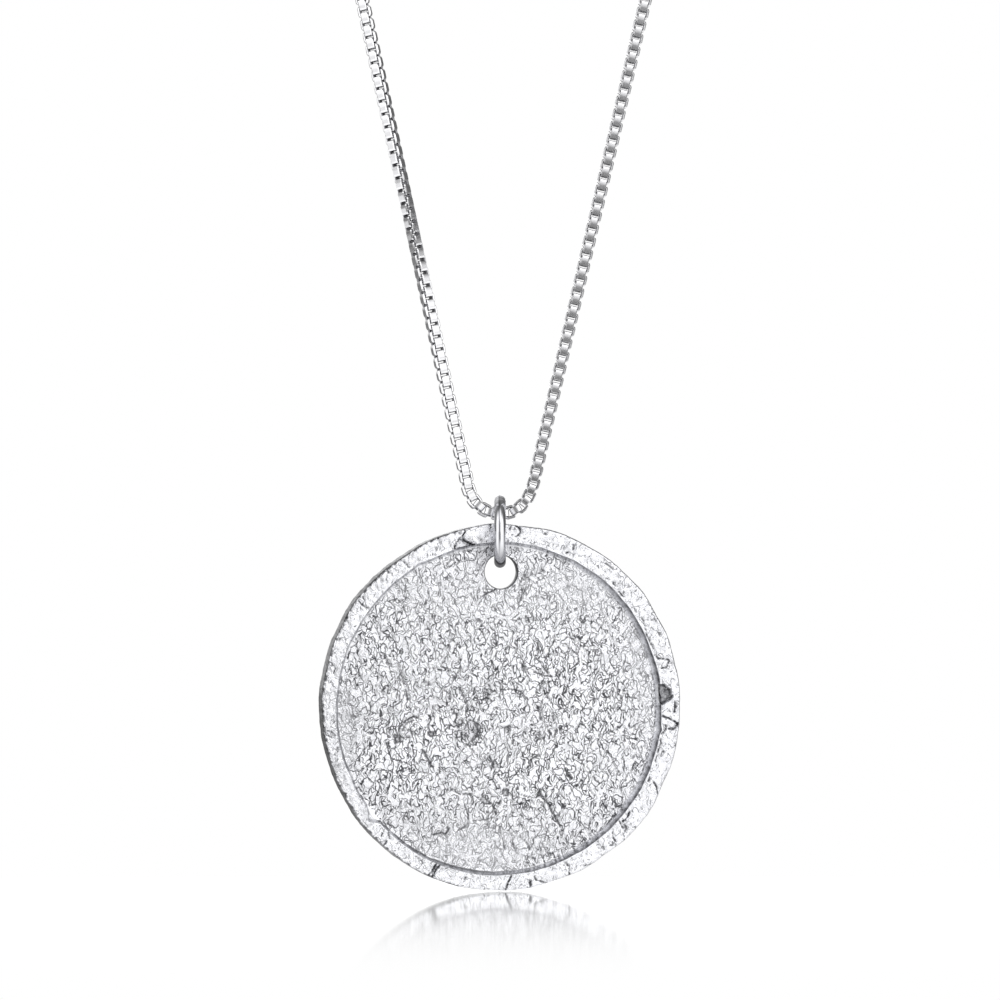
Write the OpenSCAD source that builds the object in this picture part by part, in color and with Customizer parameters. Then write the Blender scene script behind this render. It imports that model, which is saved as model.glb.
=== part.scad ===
// Coin necklace: a rimmed metal disc on a jump ring, hung on a fine box chain.
//
// Millimetres, +Z up, the coin's face towards -Y. The origin is at the nape, on the inner side of
// the loop's top, where the necklace rests on a neck. The loop lies in the XZ plane.

/* [Coin] */
// Diameter over the rim
coin_d = 28; // [20:0.5:32]
// Thickness at the rim
rim_t = 1.85; // [1.4:0.05:2.4]
// Width of the rim's face
rim_w = 1.3; // [0.8:0.1:1.6]
// Depth of the sunk field below the rim's face
field_depth = 0.7; // [0.2:0.05:0.8]
// Sideways run of the step from the rim's face down to the field
step_run = 0.2; // [0.05:0.05:0.4]
// Bevel on the rim's outer edges
edge_bevel = 0.25; // [0.1:0.05:0.4]
// Turn of the coin about the vertical, its left edge forward
coin_turn = 12; // [0:1:14]

/* [Hole] */
// Diameter of the hole that the ring passes through
hole_d = 2.6; // [2.6:0.1:3]
// Distance from the hole's centre to the coin's top edge
hole_inset = 3.65; // [3.55:0.05:3.75]
// Bevel round both mouths of the hole
hole_bevel = 0.2; // [0.1:0.05:0.25]

/* [Jump ring] */
// Outer diameter of the ring
ring_d = 5.6; // [5.5:0.05:5.8]
// Diameter of the ring's wire
ring_wire = 0.9; // [0.7:0.05:0.9]

/* [Chain] */
// Width of the box chain, as the diameter of its tube
chain_d = 1; // [0.6:0.1:1]

/* [Clasp] */
// Outer diameter of the closing ring
clasp_d = 5.5; // [5:0.1:6]
// Diameter of the closing ring's wire
clasp_wire = 1.1; // [0.8:0.1:1.2]
// Outer diameter of the eye on each side of it
eye_d = 2.6; // [2.4:0.1:2.8]
// Diameter of each eye's wire
eye_wire = 0.6; // [0.5:0.05:0.7]
// Diameter of the cap that holds each end of the chain
cap_d = 1.4; // [1.2:0.1:1.6]

/* [Hidden] */
$fn = 96;

// Free play left between pieces that touch on the real necklace
PLAY = 0.05;
// How far a cutting solid reaches past the face that it opens
PAST = 1;
// The field's middle lies this far behind the ring's plane, so that the coin hangs plumb
SET_BACK = 0.1;

// The chain's route: x and z of points on its centre line, all at y = 0, from the left of the
// clasp down one strand, round the lowest point, and up the other strand to the right of it
ROUTE = [
    [-6.6, 0], [-12.1, -1.6], [-17.5, -4.2], [-23.7, -8.8], [-28.9, -14.7], [-32.8, -21.6],
    [-35.2, -29], [-36, -36.7], [-35.2, -44.6], [-31.85, -60], [-27.55, -80], [-23.2, -100],
    [-18.9, -120], [-14.55, -140], [-10.25, -160], [-5.9, -180], [-3.1, -193], [-2.65, -195],
    [-2.45, -196], [-1.95, -197.05], [-1.1, -197.75], [0, -198],
    [1.1, -197.75], [1.95, -197.05], [2.45, -196],
    [2.7, -195], [3.15, -193], [6.15, -180], [10.8, -160], [15.45, -140], [20.1, -120],
    [24.75, -100], [29.4, -80], [34.05, -60], [37.5, -45.1], [38.4, -36.7], [37.6, -29],
    [35.2, -21.6], [31.3, -14.9], [26, -9.2], [19.7, -4.8], [13.4, -2], [6.6, 0]
];
// The tube gets a new ring of points each time its route has turned this far
TURN_STEP = 7;
TUBE_SIDES = 8;

chain_r = chain_d / 2;
chain_low = min([for (p = ROUTE) p[1]]);

// The ring hangs on the chain's lowest point
ring_r = (ring_d - ring_wire) / 2;
ring_bore_r = ring_r - ring_wire / 2;
ring_z = chain_low - (ring_bore_r - chain_r - PLAY);

// The far end of the hole's straight wall sits on the ring's wire, which curves up towards it
field_t = rim_t - field_depth;
hole_r = hole_d / 2;
wall_half = field_t / 2 - hole_bevel;
wall_end = wall_half + SET_BACK;
hole_top = ring_z - sqrt(ring_bore_r * ring_bore_r - wall_end * wall_end) + PLAY;
coin_r = coin_d / 2;
coin_z = hole_top - hole_r + hole_inset - coin_r;

clasp_r = (clasp_d - clasp_wire) / 2;
eye_r = (eye_d - eye_wire) / 2;
// The eyes are soldered to the closing ring, half a wire deep
eye_x = clasp_d / 2 + eye_r;

function unit(v) = v / norm(v);

// Direction from one point of the route to the next
function leg(i) = unit(ROUTE[i + 1] - ROUTE[i]);
function leg_length(i) = norm(ROUTE[i + 1] - ROUTE[i]);

// Direction of the route at one of its points: that of a circle through it and its neighbours,
// or at an end, that of the first or last leg mirrored from the point beside it
function heading(i) =
    i == 0 ? mirrored(heading(1), leg(0)) :
    i == len(ROUTE) - 1 ? mirrored(heading(i - 1), leg(i - 1)) :
    unit(leg(i - 1) / leg_length(i - 1) + leg(i) / leg_length(i));
function mirrored(v, axis) = 2 * (v * axis) * axis - v;

// Place at the share s of the leg that starts at point i
function place(i, s) =
    let (a = ROUTE[i], b = ROUTE[i + 1], reach = leg_length(i))
    (2 * pow(s, 3) - 3 * pow(s, 2) + 1) * a + (3 * pow(s, 2) - 2 * pow(s, 3)) * b
    + reach * ((pow(s, 3) - 2 * pow(s, 2) + s) * heading(i) + (pow(s, 3) - pow(s, 2)) * heading(i + 1));

function steps(i) = max(1, ceil(acos(min(1, heading(i) * heading(i + 1))) / TURN_STEP));

// The centre line that the tube is swept along
function centre_line() = [
    for (i = [0 : len(ROUTE) - 2])
        let (count = steps(i))
        for (k = [0 : count - 1]) place(i, k / count),
    ROUTE[len(ROUTE) - 1]
];

module coin() {
    face = field_t / 2 + field_depth;
    inner = coin_r - rim_w;
    color("silver")
    translate([0, SET_BACK, coin_z])
    rotate([0, 0, coin_turn])
    rotate([90, 0, 0])
    difference() {
        rotate_extrude()
            polygon([
                [0, -field_t / 2],
                [coin_r - edge_bevel, -field_t / 2],
                [coin_r, edge_bevel - field_t / 2],
                [coin_r, face - edge_bevel],
                [coin_r - edge_bevel, face],
                [inner, face],
                [inner - step_run, field_t / 2],
                [0, field_t / 2]
            ]);
        translate([0, coin_r - hole_inset, 0]) {
            cylinder(h = field_t + 2 * PAST, r = hole_r, center = true);
            for (side = [0, 1])
                mirror([0, 0, side])
                translate([0, 0, wall_half])
                cylinder(h = hole_bevel + PAST, r1 = hole_r, r2 = hole_r + hole_bevel + PAST);
        }
    }
}

module wire_ring(mean_r, wire_d) {
    rotate_extrude()
        translate([mean_r, 0])
        circle(d = wire_d);
}

module jump_ring() {
    color("gainsboro")
    translate([0, 0, ring_z])
    rotate([0, 90, 0])
        wire_ring(ring_r, ring_wire);
}

module chain() {
    line = centre_line();
    last = len(line) - 1;
    corners = [
        for (i = [0 : last])
            let (
                along = i == 0 ? heading(0) : i == last ? heading(len(ROUTE) - 1) :
                    unit(unit(line[i + 1] - line[i]) + unit(line[i] - line[i - 1])),
                inward = [-along[1], along[0]]
            )
            for (k = [0 : TUBE_SIDES - 1])
                let (
                    angle = 360 * (k + 0.5) / TUBE_SIDES,
                    flat = line[i] + chain_r * cos(angle) * inward
                )
                [flat[0], chain_r * sin(angle), flat[1]]
    ];
    walls = [
        for (i = [0 : last - 1])
            for (k = [0 : TUBE_SIDES - 1])
                let (next = (k + 1) % TUBE_SIDES, near = i * TUBE_SIDES, far = near + TUBE_SIDES)
                [near + k, near + next, far + next, far + k]
    ];
    start_cap = [for (k = [0 : TUBE_SIDES - 1]) TUBE_SIDES - 1 - k];
    end_cap = [for (k = [0 : TUBE_SIDES - 1]) last * TUBE_SIDES + k];
    color("lightgray")
        polyhedron(points = corners, faces = concat([start_cap, end_cap], walls));
}

module clasp() {
    end = ROUTE[0];
    slope = atan2(-heading(0)[1], -heading(0)[0]);
    color("silver") {
        translate([0, 0, clasp_wire / 2])
            wire_ring(clasp_r, clasp_wire);
        for (side = [0, 1])
            mirror([side, 0, 0]) {
                translate([-eye_x, 0, clasp_wire / 2])
                    wire_ring(eye_r, eye_wire);
                translate([end[0], 0, end[1]])
                rotate([0, 90 - slope, 0])
                translate([0, 0, PLAY])
                    cylinder(h = -end[0] - eye_x - eye_r, d = cap_d);
            }
    }
}

coin();
jump_ring();
chain();
clasp();
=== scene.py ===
"""A silver coin necklace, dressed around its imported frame.

The coin, its jump ring, the box chain and the clasp are modelled in millimetres, each in a frame of its own,
and are then laid into the row's frame in metres.
"""

import logging
import math
from dataclasses import dataclass, field
from enum import Enum
from typing import Any, NamedTuple, Optional, Sequence, Union

import bpy
import numpy as np
from mathutils import Matrix, Vector


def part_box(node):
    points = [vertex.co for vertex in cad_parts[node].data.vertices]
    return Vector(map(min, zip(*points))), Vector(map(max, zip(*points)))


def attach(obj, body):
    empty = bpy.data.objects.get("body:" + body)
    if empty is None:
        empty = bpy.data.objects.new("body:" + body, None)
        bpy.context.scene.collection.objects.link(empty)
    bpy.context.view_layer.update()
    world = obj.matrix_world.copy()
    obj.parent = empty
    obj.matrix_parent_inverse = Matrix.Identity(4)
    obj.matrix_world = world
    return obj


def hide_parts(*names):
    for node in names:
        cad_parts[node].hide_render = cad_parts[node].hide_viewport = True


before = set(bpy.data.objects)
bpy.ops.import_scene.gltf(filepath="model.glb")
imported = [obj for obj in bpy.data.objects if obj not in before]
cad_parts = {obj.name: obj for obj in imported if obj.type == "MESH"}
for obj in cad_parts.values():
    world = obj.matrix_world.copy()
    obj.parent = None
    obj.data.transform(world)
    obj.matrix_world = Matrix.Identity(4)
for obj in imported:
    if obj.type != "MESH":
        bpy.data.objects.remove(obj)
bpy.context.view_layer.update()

METRES_PER_MM = 0.001
MM_PER_METRE = 1000.0
WHITE = (1.0, 1.0, 1.0, 1.0)
# In millimetres, by how much a rule on places reaches past an edge
HAIR = 0.01
# Edges that turn further than this get a modifier's bevel
SHARP = math.radians(60.0)
# A face looks along an axis where its normal reaches further than this along it
FACING = 0.5
# How far a flat noise moves for each step of its seed, to the left and up
NOISE_STEPS = (5.3, 3.1)

log = logging.getLogger("coin_necklace")


class Body(str, Enum):
    """The moving bodies of the necklace."""

    NECK_LOOP = "neck_loop"
    RING = "ring"
    PENDANT = "pendant"


class Slot(str, Enum):
    """Names for the material slots."""

    COIN = "coin_silver"
    RING = "ring_silver"
    CHAIN = "chain_silver"
    CLASP = "clasp_silver"


Value = Union[float, "Wire"]


class Wire:
    """An output of a node. Arithmetic on it adds Math nodes."""

    def __init__(self, sheet: "Sheet", socket: bpy.types.NodeSocket) -> None:
        """Keeps the socket and the sheet that it is drawn on."""
        self.sheet = sheet
        self.socket = socket

    def worked(self, operation: str, *values: Value) -> "Wire":
        """Adds one Math node.

        Args:
            operation: The Math node's operation.
            *values: Its inputs, in order.

        Returns:
            The node's result.
        """
        return self.sheet.add("ShaderNodeMath", {"operation": operation}, dict(enumerate(values)))

    def __add__(self, other: Value) -> "Wire":
        """The sum."""
        return self.worked("ADD", self, other)

    def __radd__(self, other: Value) -> "Wire":
        """The sum, from the right."""
        return self.worked("ADD", other, self)

    def __sub__(self, other: Value) -> "Wire":
        """The difference."""
        return self.worked("SUBTRACT", self, other)

    def __rsub__(self, other: Value) -> "Wire":
        """The difference, from the right."""
        return self.worked("SUBTRACT", other, self)

    def __mul__(self, other: Value) -> "Wire":
        """The product."""
        return self.worked("MULTIPLY", self, other)

    def __rmul__(self, other: Value) -> "Wire":
        """The product, from the right."""
        return self.worked("MULTIPLY", other, self)

    def __truediv__(self, other: Value) -> "Wire":
        """The quotient."""
        return self.worked("DIVIDE", self, other)

    def __abs__(self) -> "Wire":
        """The value without its sign."""
        return self.worked("ABSOLUTE", self)

    def greater(self, other: Value) -> "Wire":
        """The greater of the two."""
        return self.worked("MAXIMUM", self, other)

    def lesser(self, other: Value) -> "Wire":
        """The lesser of the two."""
        return self.worked("MINIMUM", self, other)

    def rise(self, start: float, end: float) -> "Wire":
        """Runs smoothly from 0 where the value is start to 1 where it is end.

        Args:
            start: The value that gives 0.
            end: The value that gives 1. It may be the lower one.

        Returns:
            The smooth step.
        """
        return self.sheet.add(
            "ShaderNodeMapRange",
            {"interpolation_type": "SMOOTHSTEP"},
            {"Value": self, "From Min": start, "From Max": end},
        )


class Sheet:
    """A node tree that is drawn up node by node."""

    def __init__(self, tree: bpy.types.NodeTree) -> None:
        """Starts on an empty tree."""
        tree.nodes.clear()
        self.tree = tree

    @classmethod
    def of_material(cls, name: str) -> tuple[bpy.types.Material, "Sheet"]:
        """Starts a material.

        Args:
            name: The material's name.

        Returns:
            The material and its empty sheet.
        """
        material = bpy.data.materials.new(name)
        material.use_nodes = True
        return material, cls(material.node_tree)

    @classmethod
    def of_geometry(cls, name: str) -> tuple[Wire, "Sheet"]:
        """Starts a group of geometry nodes.

        Args:
            name: The group's name.

        Returns:
            The geometry that comes in, and the group's sheet.
        """
        group = bpy.data.node_groups.new(name, "GeometryNodeTree")
        for way in ("INPUT", "OUTPUT"):
            group.interface.new_socket(name="Geometry", in_out=way, socket_type="NodeSocketGeometry")
        sheet = cls(group)
        return sheet.add("NodeGroupInput"), sheet

    def add(
        self,
        kind: str,
        settings: Optional[dict[str, Any]] = None,
        sockets: Optional[dict[Any, Any]] = None,
        output: Union[int, str] = 0,
    ) -> Wire:
        """Adds a node, sets it up and fills its sockets.

        Args:
            kind: The node's type.
            settings: The node's own settings.
            sockets: Values or wires for its inputs, by name or number.
            output: Which output is returned.

        Returns:
            The wanted output, or the node's first input where it has no output.
        """
        node = self.tree.nodes.new(kind)
        for name, value in (settings or {}).items():
            setattr(node, name, value)
        for name, value in (sockets or {}).items():
            if isinstance(value, Wire):
                self.tree.links.new(value.socket, node.inputs[name])
            else:
                node.inputs[name].default_value = value
        return Wire(self, node.outputs[output] if node.outputs else node.inputs[0])

    def split(self, vector: Wire) -> tuple[Wire, Wire, Wire]:
        """Takes a vector apart.

        Args:
            vector: The vector.

        Returns:
            Its three parts.
        """
        first = self.add("ShaderNodeSeparateXYZ", None, {0: vector})
        node = first.socket.node
        return first, Wire(self, node.outputs[1]), Wire(self, node.outputs[2])

    def joined(self, x: Value, y: Value, z: Value = 0.0) -> Wire:
        """A vector of three parts."""
        return self.add("ShaderNodeCombineXYZ", None, {0: x, 1: y, 2: z})

    def dot(self, vector: Wire, axis: Sequence[float]) -> Wire:
        """How far a vector reaches along an axis."""
        return self.add("ShaderNodeVectorMath", {"operation": "DOT_PRODUCT"}, {0: vector, 1: axis}, "Value")

    def cloud(self, x: Value, y: Value, size: float, seed: float, detail: float = 1.0) -> Wire:
        """Flat noise from 0 to 1, about 0.5.

        Args:
            x: The first coordinate.
            y: The second coordinate.
            size: How wide one lump is, in the coordinates' unit.
            seed: Moves the noise to another place.
            detail: How many finer layers it has.

        Returns:
            The noise.
        """
        where = self.joined(x + seed * NOISE_STEPS[0], y - seed * NOISE_STEPS[1])
        sockets = {"Vector": where, "Scale": 1.0 / size, "Detail": detail}
        return self.add("ShaderNodeTexNoise", {"noise_dimensions": "2D"}, sockets)

    def grain(self, place: Wire, scale: float, detail: float) -> Wire:
        """Noise in space from 0 to 1, about 0.5."""
        return self.add("ShaderNodeTexNoise", None, {"Vector": place, "Scale": scale, "Detail": detail})

    def place(self) -> Wire:
        """The place on the object, in metres."""
        return self.add("ShaderNodeTexCoord", None, None, "Object")

    def shade(self, name: str) -> Wire:
        """A shade that is stored on the mesh, as a material reads it."""
        return self.add("ShaderNodeAttribute", {"attribute_name": name}, None, "Fac")

    def stored(self, name: str, kind: str = "FLOAT") -> Wire:
        """A value that is stored on the mesh, as geometry nodes read it."""
        return self.add("GeometryNodeInputNamedAttribute", {"data_type": kind}, {"Name": name}, "Attribute")

    def to_camera(self) -> Wire:
        """1 for the camera, and 0 for what the silver mirrors."""
        return self.add("ShaderNodeLightPath", None, None, "Is Camera Ray")

    def silver(self, tones: "Tones", tarnish_and_shade: Wire, roughness: Wire, height: Wire, depth: float) -> None:
        """Closes a material as silver.

        Args:
            tones: Its bright colour, and its dark one for tarnish and for painted shade.
            tarnish_and_shade: How dark it is, from 0 to 1, by tarnish and by painted shade.
            roughness: How rough it is.
            height: Its fine relief.
            depth: How high a relief of 1 stands, in metres.
        """
        ends = {6: (*tones.bright, 1.0), 7: (*tones.dark, 1.0)}
        colour = self.add("ShaderNodeMix", {"data_type": "RGBA"}, {0: tarnish_and_shade, **ends}, 2)
        relief = self.add("ShaderNodeBump", None, {"Height": height, "Distance": depth, "Strength": 1.0})
        metal = self.add(
            "ShaderNodeBsdfPrincipled",
            None,
            {"Base Color": colour, "Metallic": 1.0, "Roughness": roughness, "Normal": relief},
        )
        self.add("ShaderNodeOutputMaterial", None, {"Surface": metal})


class Tones(NamedTuple):
    """A silver's bright colour and its dark one, which serves for tarnish and for painted shade."""

    bright: tuple[float, float, float]
    dark: tuple[float, float, float]


class Bench:
    """The modelling bench: one piece at a time, worked with Blender's own operators."""

    @staticmethod
    def clear() -> None:
        """Leaves object mode with nothing selected."""
        if bpy.context.object is not None and bpy.context.object.mode != "OBJECT":
            bpy.ops.object.mode_set(mode="OBJECT")
        bpy.ops.object.select_all(action="DESELECT")

    @staticmethod
    def take(*pieces: bpy.types.Object) -> None:
        """Selects these pieces alone, and makes the first one active."""
        Bench.clear()
        for piece in pieces:
            piece.select_set(True)
        bpy.context.view_layer.objects.active = pieces[0]

    @staticmethod
    def fresh(name: str) -> bpy.types.Object:
        """Names the primitive that was just added.

        Args:
            name: The name of the object and of its mesh.

        Returns:
            The primitive.
        """
        piece = bpy.context.object
        piece.name = name
        piece.data.name = name
        return piece

    @staticmethod
    def points(piece: bpy.types.Object) -> np.ndarray:
        """Reads where the vertices of a piece lie.

        Args:
            piece: The piece.

        Returns:
            Rows of x, y and z.
        """
        flat = np.empty(len(piece.data.vertices) * 3)
        piece.data.vertices.foreach_get("co", flat)
        return flat.reshape(-1, 3)

    @staticmethod
    def move_points(piece: bpy.types.Object, places: np.ndarray) -> None:
        """Puts the vertices of a piece at new places."""
        piece.data.vertices.foreach_set("co", np.ascontiguousarray(places).ravel())
        piece.data.update()

    @staticmethod
    def mark(piece: bpy.types.Object, name: str, values: np.ndarray) -> None:
        """Stores one number per vertex under a name."""
        attribute = piece.data.attributes.get(name) or piece.data.attributes.new(name, "FLOAT", "POINT")
        attribute.data.foreach_set("value", values.astype(np.float32))

    @staticmethod
    def pick(piece: bpy.types.Object, mode: str, chosen: Sequence[bool]) -> None:
        """Opens a piece in edit mode with only these faces or edges selected.

        Args:
            piece: The piece.
            mode: FACE or EDGE.
            chosen: For each face or edge, whether it is wanted.
        """
        Bench.take(piece)
        bpy.ops.object.mode_set(mode="EDIT")
        bpy.ops.mesh.select_mode(type=mode)
        bpy.ops.mesh.select_all(action="DESELECT")
        bpy.ops.object.mode_set(mode="OBJECT")
        parts = piece.data.polygons if mode == "FACE" else piece.data.edges
        parts.foreach_set("select", chosen)
        bpy.ops.object.mode_set(mode="EDIT")

    @staticmethod
    def apply(piece: bpy.types.Object, kind: str, **settings: Any) -> None:
        """Adds a modifier and applies it.

        Args:
            piece: The piece that it works on.
            kind: The modifier's type.
            **settings: Its settings.
        """
        Bench.take(piece)
        modifier = piece.modifiers.new(kind.lower(), kind)
        for name, value in settings.items():
            setattr(modifier, name, value)
        bpy.ops.object.modifier_apply(modifier=modifier.name)

    @staticmethod
    def weld(piece: bpy.types.Object, reach: float = 0.0005) -> None:
        """Merges doubled vertices and turns all faces outwards.

        Args:
            piece: The piece to weld.
            reach: How close two vertices have to be, in millimetres.
        """
        Bench.take(piece)
        bpy.ops.object.mode_set(mode="EDIT")
        bpy.ops.mesh.select_all(action="SELECT")
        bpy.ops.mesh.remove_doubles(threshold=reach)
        bpy.ops.mesh.normals_make_consistent(inside=False)
        bpy.ops.object.mode_set(mode="OBJECT")

    @staticmethod
    def clean(piece: bpy.types.Object, reach: float = 0.002) -> None:
        """Dissolves the slivers that a Boolean leaves.

        Args:
            piece: The piece to clean.
            reach: Edges up to this long are taken out, in millimetres.
        """
        Bench.take(piece)
        bpy.ops.object.mode_set(mode="EDIT")
        bpy.ops.mesh.select_all(action="SELECT")
        bpy.ops.mesh.dissolve_degenerate(threshold=reach)
        bpy.ops.object.mode_set(mode="OBJECT")

    @staticmethod
    def unite(body: bpy.types.Object, others: Sequence[bpy.types.Object], operation: str = "UNION") -> None:
        """Joins solids into one shell, or cuts them out of it, and removes the others.

        Args:
            body: The solid that stays.
            others: The solids that are used up.
            operation: The Boolean's operation.
        """
        for other in others:
            Bench.apply(body, "BOOLEAN", object=other, operation=operation, solver="MANIFOLD")
            bpy.data.objects.remove(other)

    @staticmethod
    def lay(piece: bpy.types.Object, placing: Matrix, smooth_angle: float = 40.0) -> None:
        """Puts a piece into the row's frame, in metres, and smooths its faces.

        Args:
            piece: The piece, modelled in millimetres.
            placing: Its place in the row's frame, in millimetres.
            smooth_angle: Edges that turn further than this many degrees stay sharp.
        """
        Bench.take(piece)
        piece.matrix_world = Matrix.Scale(METRES_PER_MM, 4) @ placing
        bpy.ops.object.transform_apply(location=True, rotation=True, scale=True)
        bpy.ops.object.shade_smooth_by_angle(angle=math.radians(smooth_angle))

    @staticmethod
    def hand_over(piece: bpy.types.Object, body: Body, slot: Slot, node: str) -> None:
        """Lets a finished piece ride on its body in place of its CAD node.

        Args:
            piece: The finished piece.
            body: The body that it moves with.
            slot: The material slot of its finish. It is not used.
            node: The CAD node that it stands for.
        """
        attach(piece, body.value)
        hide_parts(node)
        triangles = sum(len(face.vertices) - 2 for face in piece.data.polygons)
        log.info("%s: %d triangles, rides on %s", piece.name, triangles, body.value)


def smooth(value: np.ndarray, start: float, end: float) -> np.ndarray:
    """Runs smoothly from 0 where the value is start to 1 where it is end.

    Args:
        value: The values.
        start: The value that gives 0.
        end: The value that gives 1.

    Returns:
        The smooth step for each value.
    """
    share = np.clip((value - start) / (end - start), 0.0, 1.0)
    return share * share * (3.0 - 2.0 * share)


@dataclass(frozen=True)
class SoftLight:
    """A soft light of the studio, as the part of the surroundings that it fills."""

    azimuth: float
    elevation: float
    core: float
    edge: float
    level: float

    def direction(self) -> Vector:
        """Points towards the light. Azimuth 0 is the camera's side, and 90 is +X.

        Returns:
            The direction.
        """
        turn, lift = math.radians(self.azimuth), math.radians(self.elevation)
        return Vector((
            math.sin(turn) * math.cos(lift),
            -math.cos(turn) * math.cos(lift),
            math.sin(lift),
        ))


@dataclass
class Studio:
    """The pale floor, the soft lights and the camera.

    Lengths are in millimetres and angles in degrees. The lights' and the floor's levels are fitted to the
    brightness of the photograph. What the camera sees directly is white.
    """

    lens: float = 150.0
    sensor: float = 36.0
    distance: float = 319.3
    lens_above_coin: float = 15.84
    floor_gap: float = 0.1
    floor_reach: float = 3000.0
    mirror_reach: float = 66.0
    mirror_ends_behind: float = 12.0
    mirror_share: float = 0.87
    mirror_roughness: float = 0.085
    mirror_sides: tuple[float, float] = (44.0, 18.0)
    mirror_grazing: tuple[float, float] = (0.6, 0.86)
    ambient: float = 0.16
    floor_dim: float = 0.25
    floor_bright: float = 1.1
    floor_lit_from: float = -20.0
    floor_lit_to: float = 8.0
    column_level: float = 0.15
    column_sides: tuple[float, float] = (0.13, 0.26)
    column_faces: tuple[float, float] = (-0.5, -0.3)
    column_ends_at: float = 35.0
    column_fade: float = 25.0
    side_lights: tuple[SoftLight, ...] = (
        SoftLight(azimuth=-42.0, elevation=14.0, core=20.0, edge=54.0, level=1.2),
        SoftLight(azimuth=38.0, elevation=4.0, core=24.0, edge=54.0, level=1.3),
        SoftLight(azimuth=180.0, elevation=5.0, core=10.0, edge=14.0, level=0.84),
        SoftLight(azimuth=208.0, elevation=16.0, core=8.0, edge=64.0, level=0.55),
    )
    high_light: SoftLight = SoftLight(azimuth=0.0, elevation=54.0, core=8.0, edge=34.0, level=1.2)

    def build(self) -> None:
        """Sets up the camera, the surroundings and the floor."""
        self._set_camera()
        self._light()
        self._lay_floor()
        bpy.context.scene.view_settings.view_transform = "Standard"
        log.info("studio: camera at %.0f mm", self.distance)

    def _set_camera(self) -> None:
        """Puts the camera in front of the coin, level, with a long lens."""
        low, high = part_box("coin")
        height = (low.z + high.z) / 2 + self.lens_above_coin * METRES_PER_MM
        bpy.ops.object.camera_add(
            location=(0.0, -self.distance * METRES_PER_MM, height),
            rotation=(math.pi / 2, 0.0, 0.0),
        )
        camera = bpy.context.object
        camera.name = "camera"
        camera.data.lens = self.lens
        camera.data.sensor_width = self.sensor
        camera.data.clip_start = 0.01
        camera.data.clip_end = 20.0
        bpy.context.scene.camera = camera

    def _light(self) -> None:
        """Makes the surroundings: white to the camera, and soft lights in a dim room to the silver."""
        world = bpy.data.worlds.new("studio")
        bpy.context.scene.world = world
        world.use_nodes = True
        sheet = Sheet(world.node_tree)
        towards = sheet.add("ShaderNodeTexCoord", None, None, "Generated")
        level = self._glow(sheet, towards, self.side_lights[0])
        for light in self.side_lights[1:]:
            level = level + self._glow(sheet, towards, light)
        x, y, _ = sheet.split(towards)
        level = level * self._column(x, y).greater(y.rise(*self.column_faces))
        level = level + self._glow(sheet, towards, self.high_light)
        seen = sheet.to_camera()
        strength = seen + (1.0 - seen) * (level + self.ambient)
        background = sheet.add("ShaderNodeBackground", None, {"Color": WHITE, "Strength": strength})
        sheet.add("ShaderNodeOutputWorld", None, {"Surface": background})

    @staticmethod
    def _glow(sheet: Sheet, towards: Wire, light: SoftLight) -> Wire:
        """How brightly a soft light fills a direction.

        Args:
            sheet: The sheet that the nodes go on.
            towards: The direction.
            light: The light.

        Returns:
            The light's level in that direction.
        """
        nearness = sheet.dot(towards, light.direction()).lesser(1.0)
        angle = nearness.worked("ARCCOSINE", nearness) * (180.0 / math.pi)
        return angle.rise(light.edge, light.core) * light.level

    def _column(self, x: Wire, y: Wire) -> Wire:
        """The dim upright strip behind the camera: its level straight ahead, and 1 on both sides."""
        beside = (abs(x) / abs(y).greater(0.001)).rise(*self.column_sides)
        return self.column_level + (1.0 - self.column_level) * beside

    def _lay_floor(self) -> None:
        """Lays the floor just under the coin. It mirrors the coin at a grazing view, most of all near it."""
        low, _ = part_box("coin")
        bpy.ops.mesh.primitive_plane_add(size=2 * self.floor_reach * METRES_PER_MM)
        floor = Bench.fresh("floor")
        height = low.z - self.floor_gap * METRES_PER_MM
        Bench.move_points(floor, Bench.points(floor) + np.array((0.0, 0.0, height)))
        material, sheet = Sheet.of_material("pale_floor")
        x, y, _ = sheet.split(sheet.place())
        across = abs(x) * MM_PER_METRE
        forward = y * -MM_PER_METRE
        near = forward.rise(self.mirror_reach, 0.0)
        facing = sheet.add("ShaderNodeLayerWeight", None, {"Blend": 0.5}, "Facing")
        grazing = facing.rise(*self.mirror_grazing)
        behind = (y * MM_PER_METRE).rise(self.mirror_ends_behind, 0.5 * self.mirror_ends_behind)
        share = near * near * behind * across.rise(*self.mirror_sides) * grazing * self.mirror_share
        seen = sheet.to_camera()
        front = forward.rise(self.floor_lit_from, self.floor_lit_to)
        past_column = forward.rise(self.column_ends_at + self.column_fade, self.column_ends_at)
        lit = self.floor_dim + (self.floor_bright - self.floor_dim) * front
        lit = lit * self._column(x, y).greater(past_column)
        strength = seen + (1.0 - seen) * lit
        pale = sheet.add("ShaderNodeEmission", None, {"Color": WHITE, "Strength": strength})
        gloss = sheet.add("ShaderNodeBsdfGlossy", None, {"Color": WHITE, "Roughness": self.mirror_roughness})
        surface = sheet.add("ShaderNodeMixShader", None, {0: share * seen, 1: pale, 2: gloss})
        sheet.add("ShaderNodeOutputMaterial", None, {"Surface": surface})
        floor.data.materials.append(material)


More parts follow.
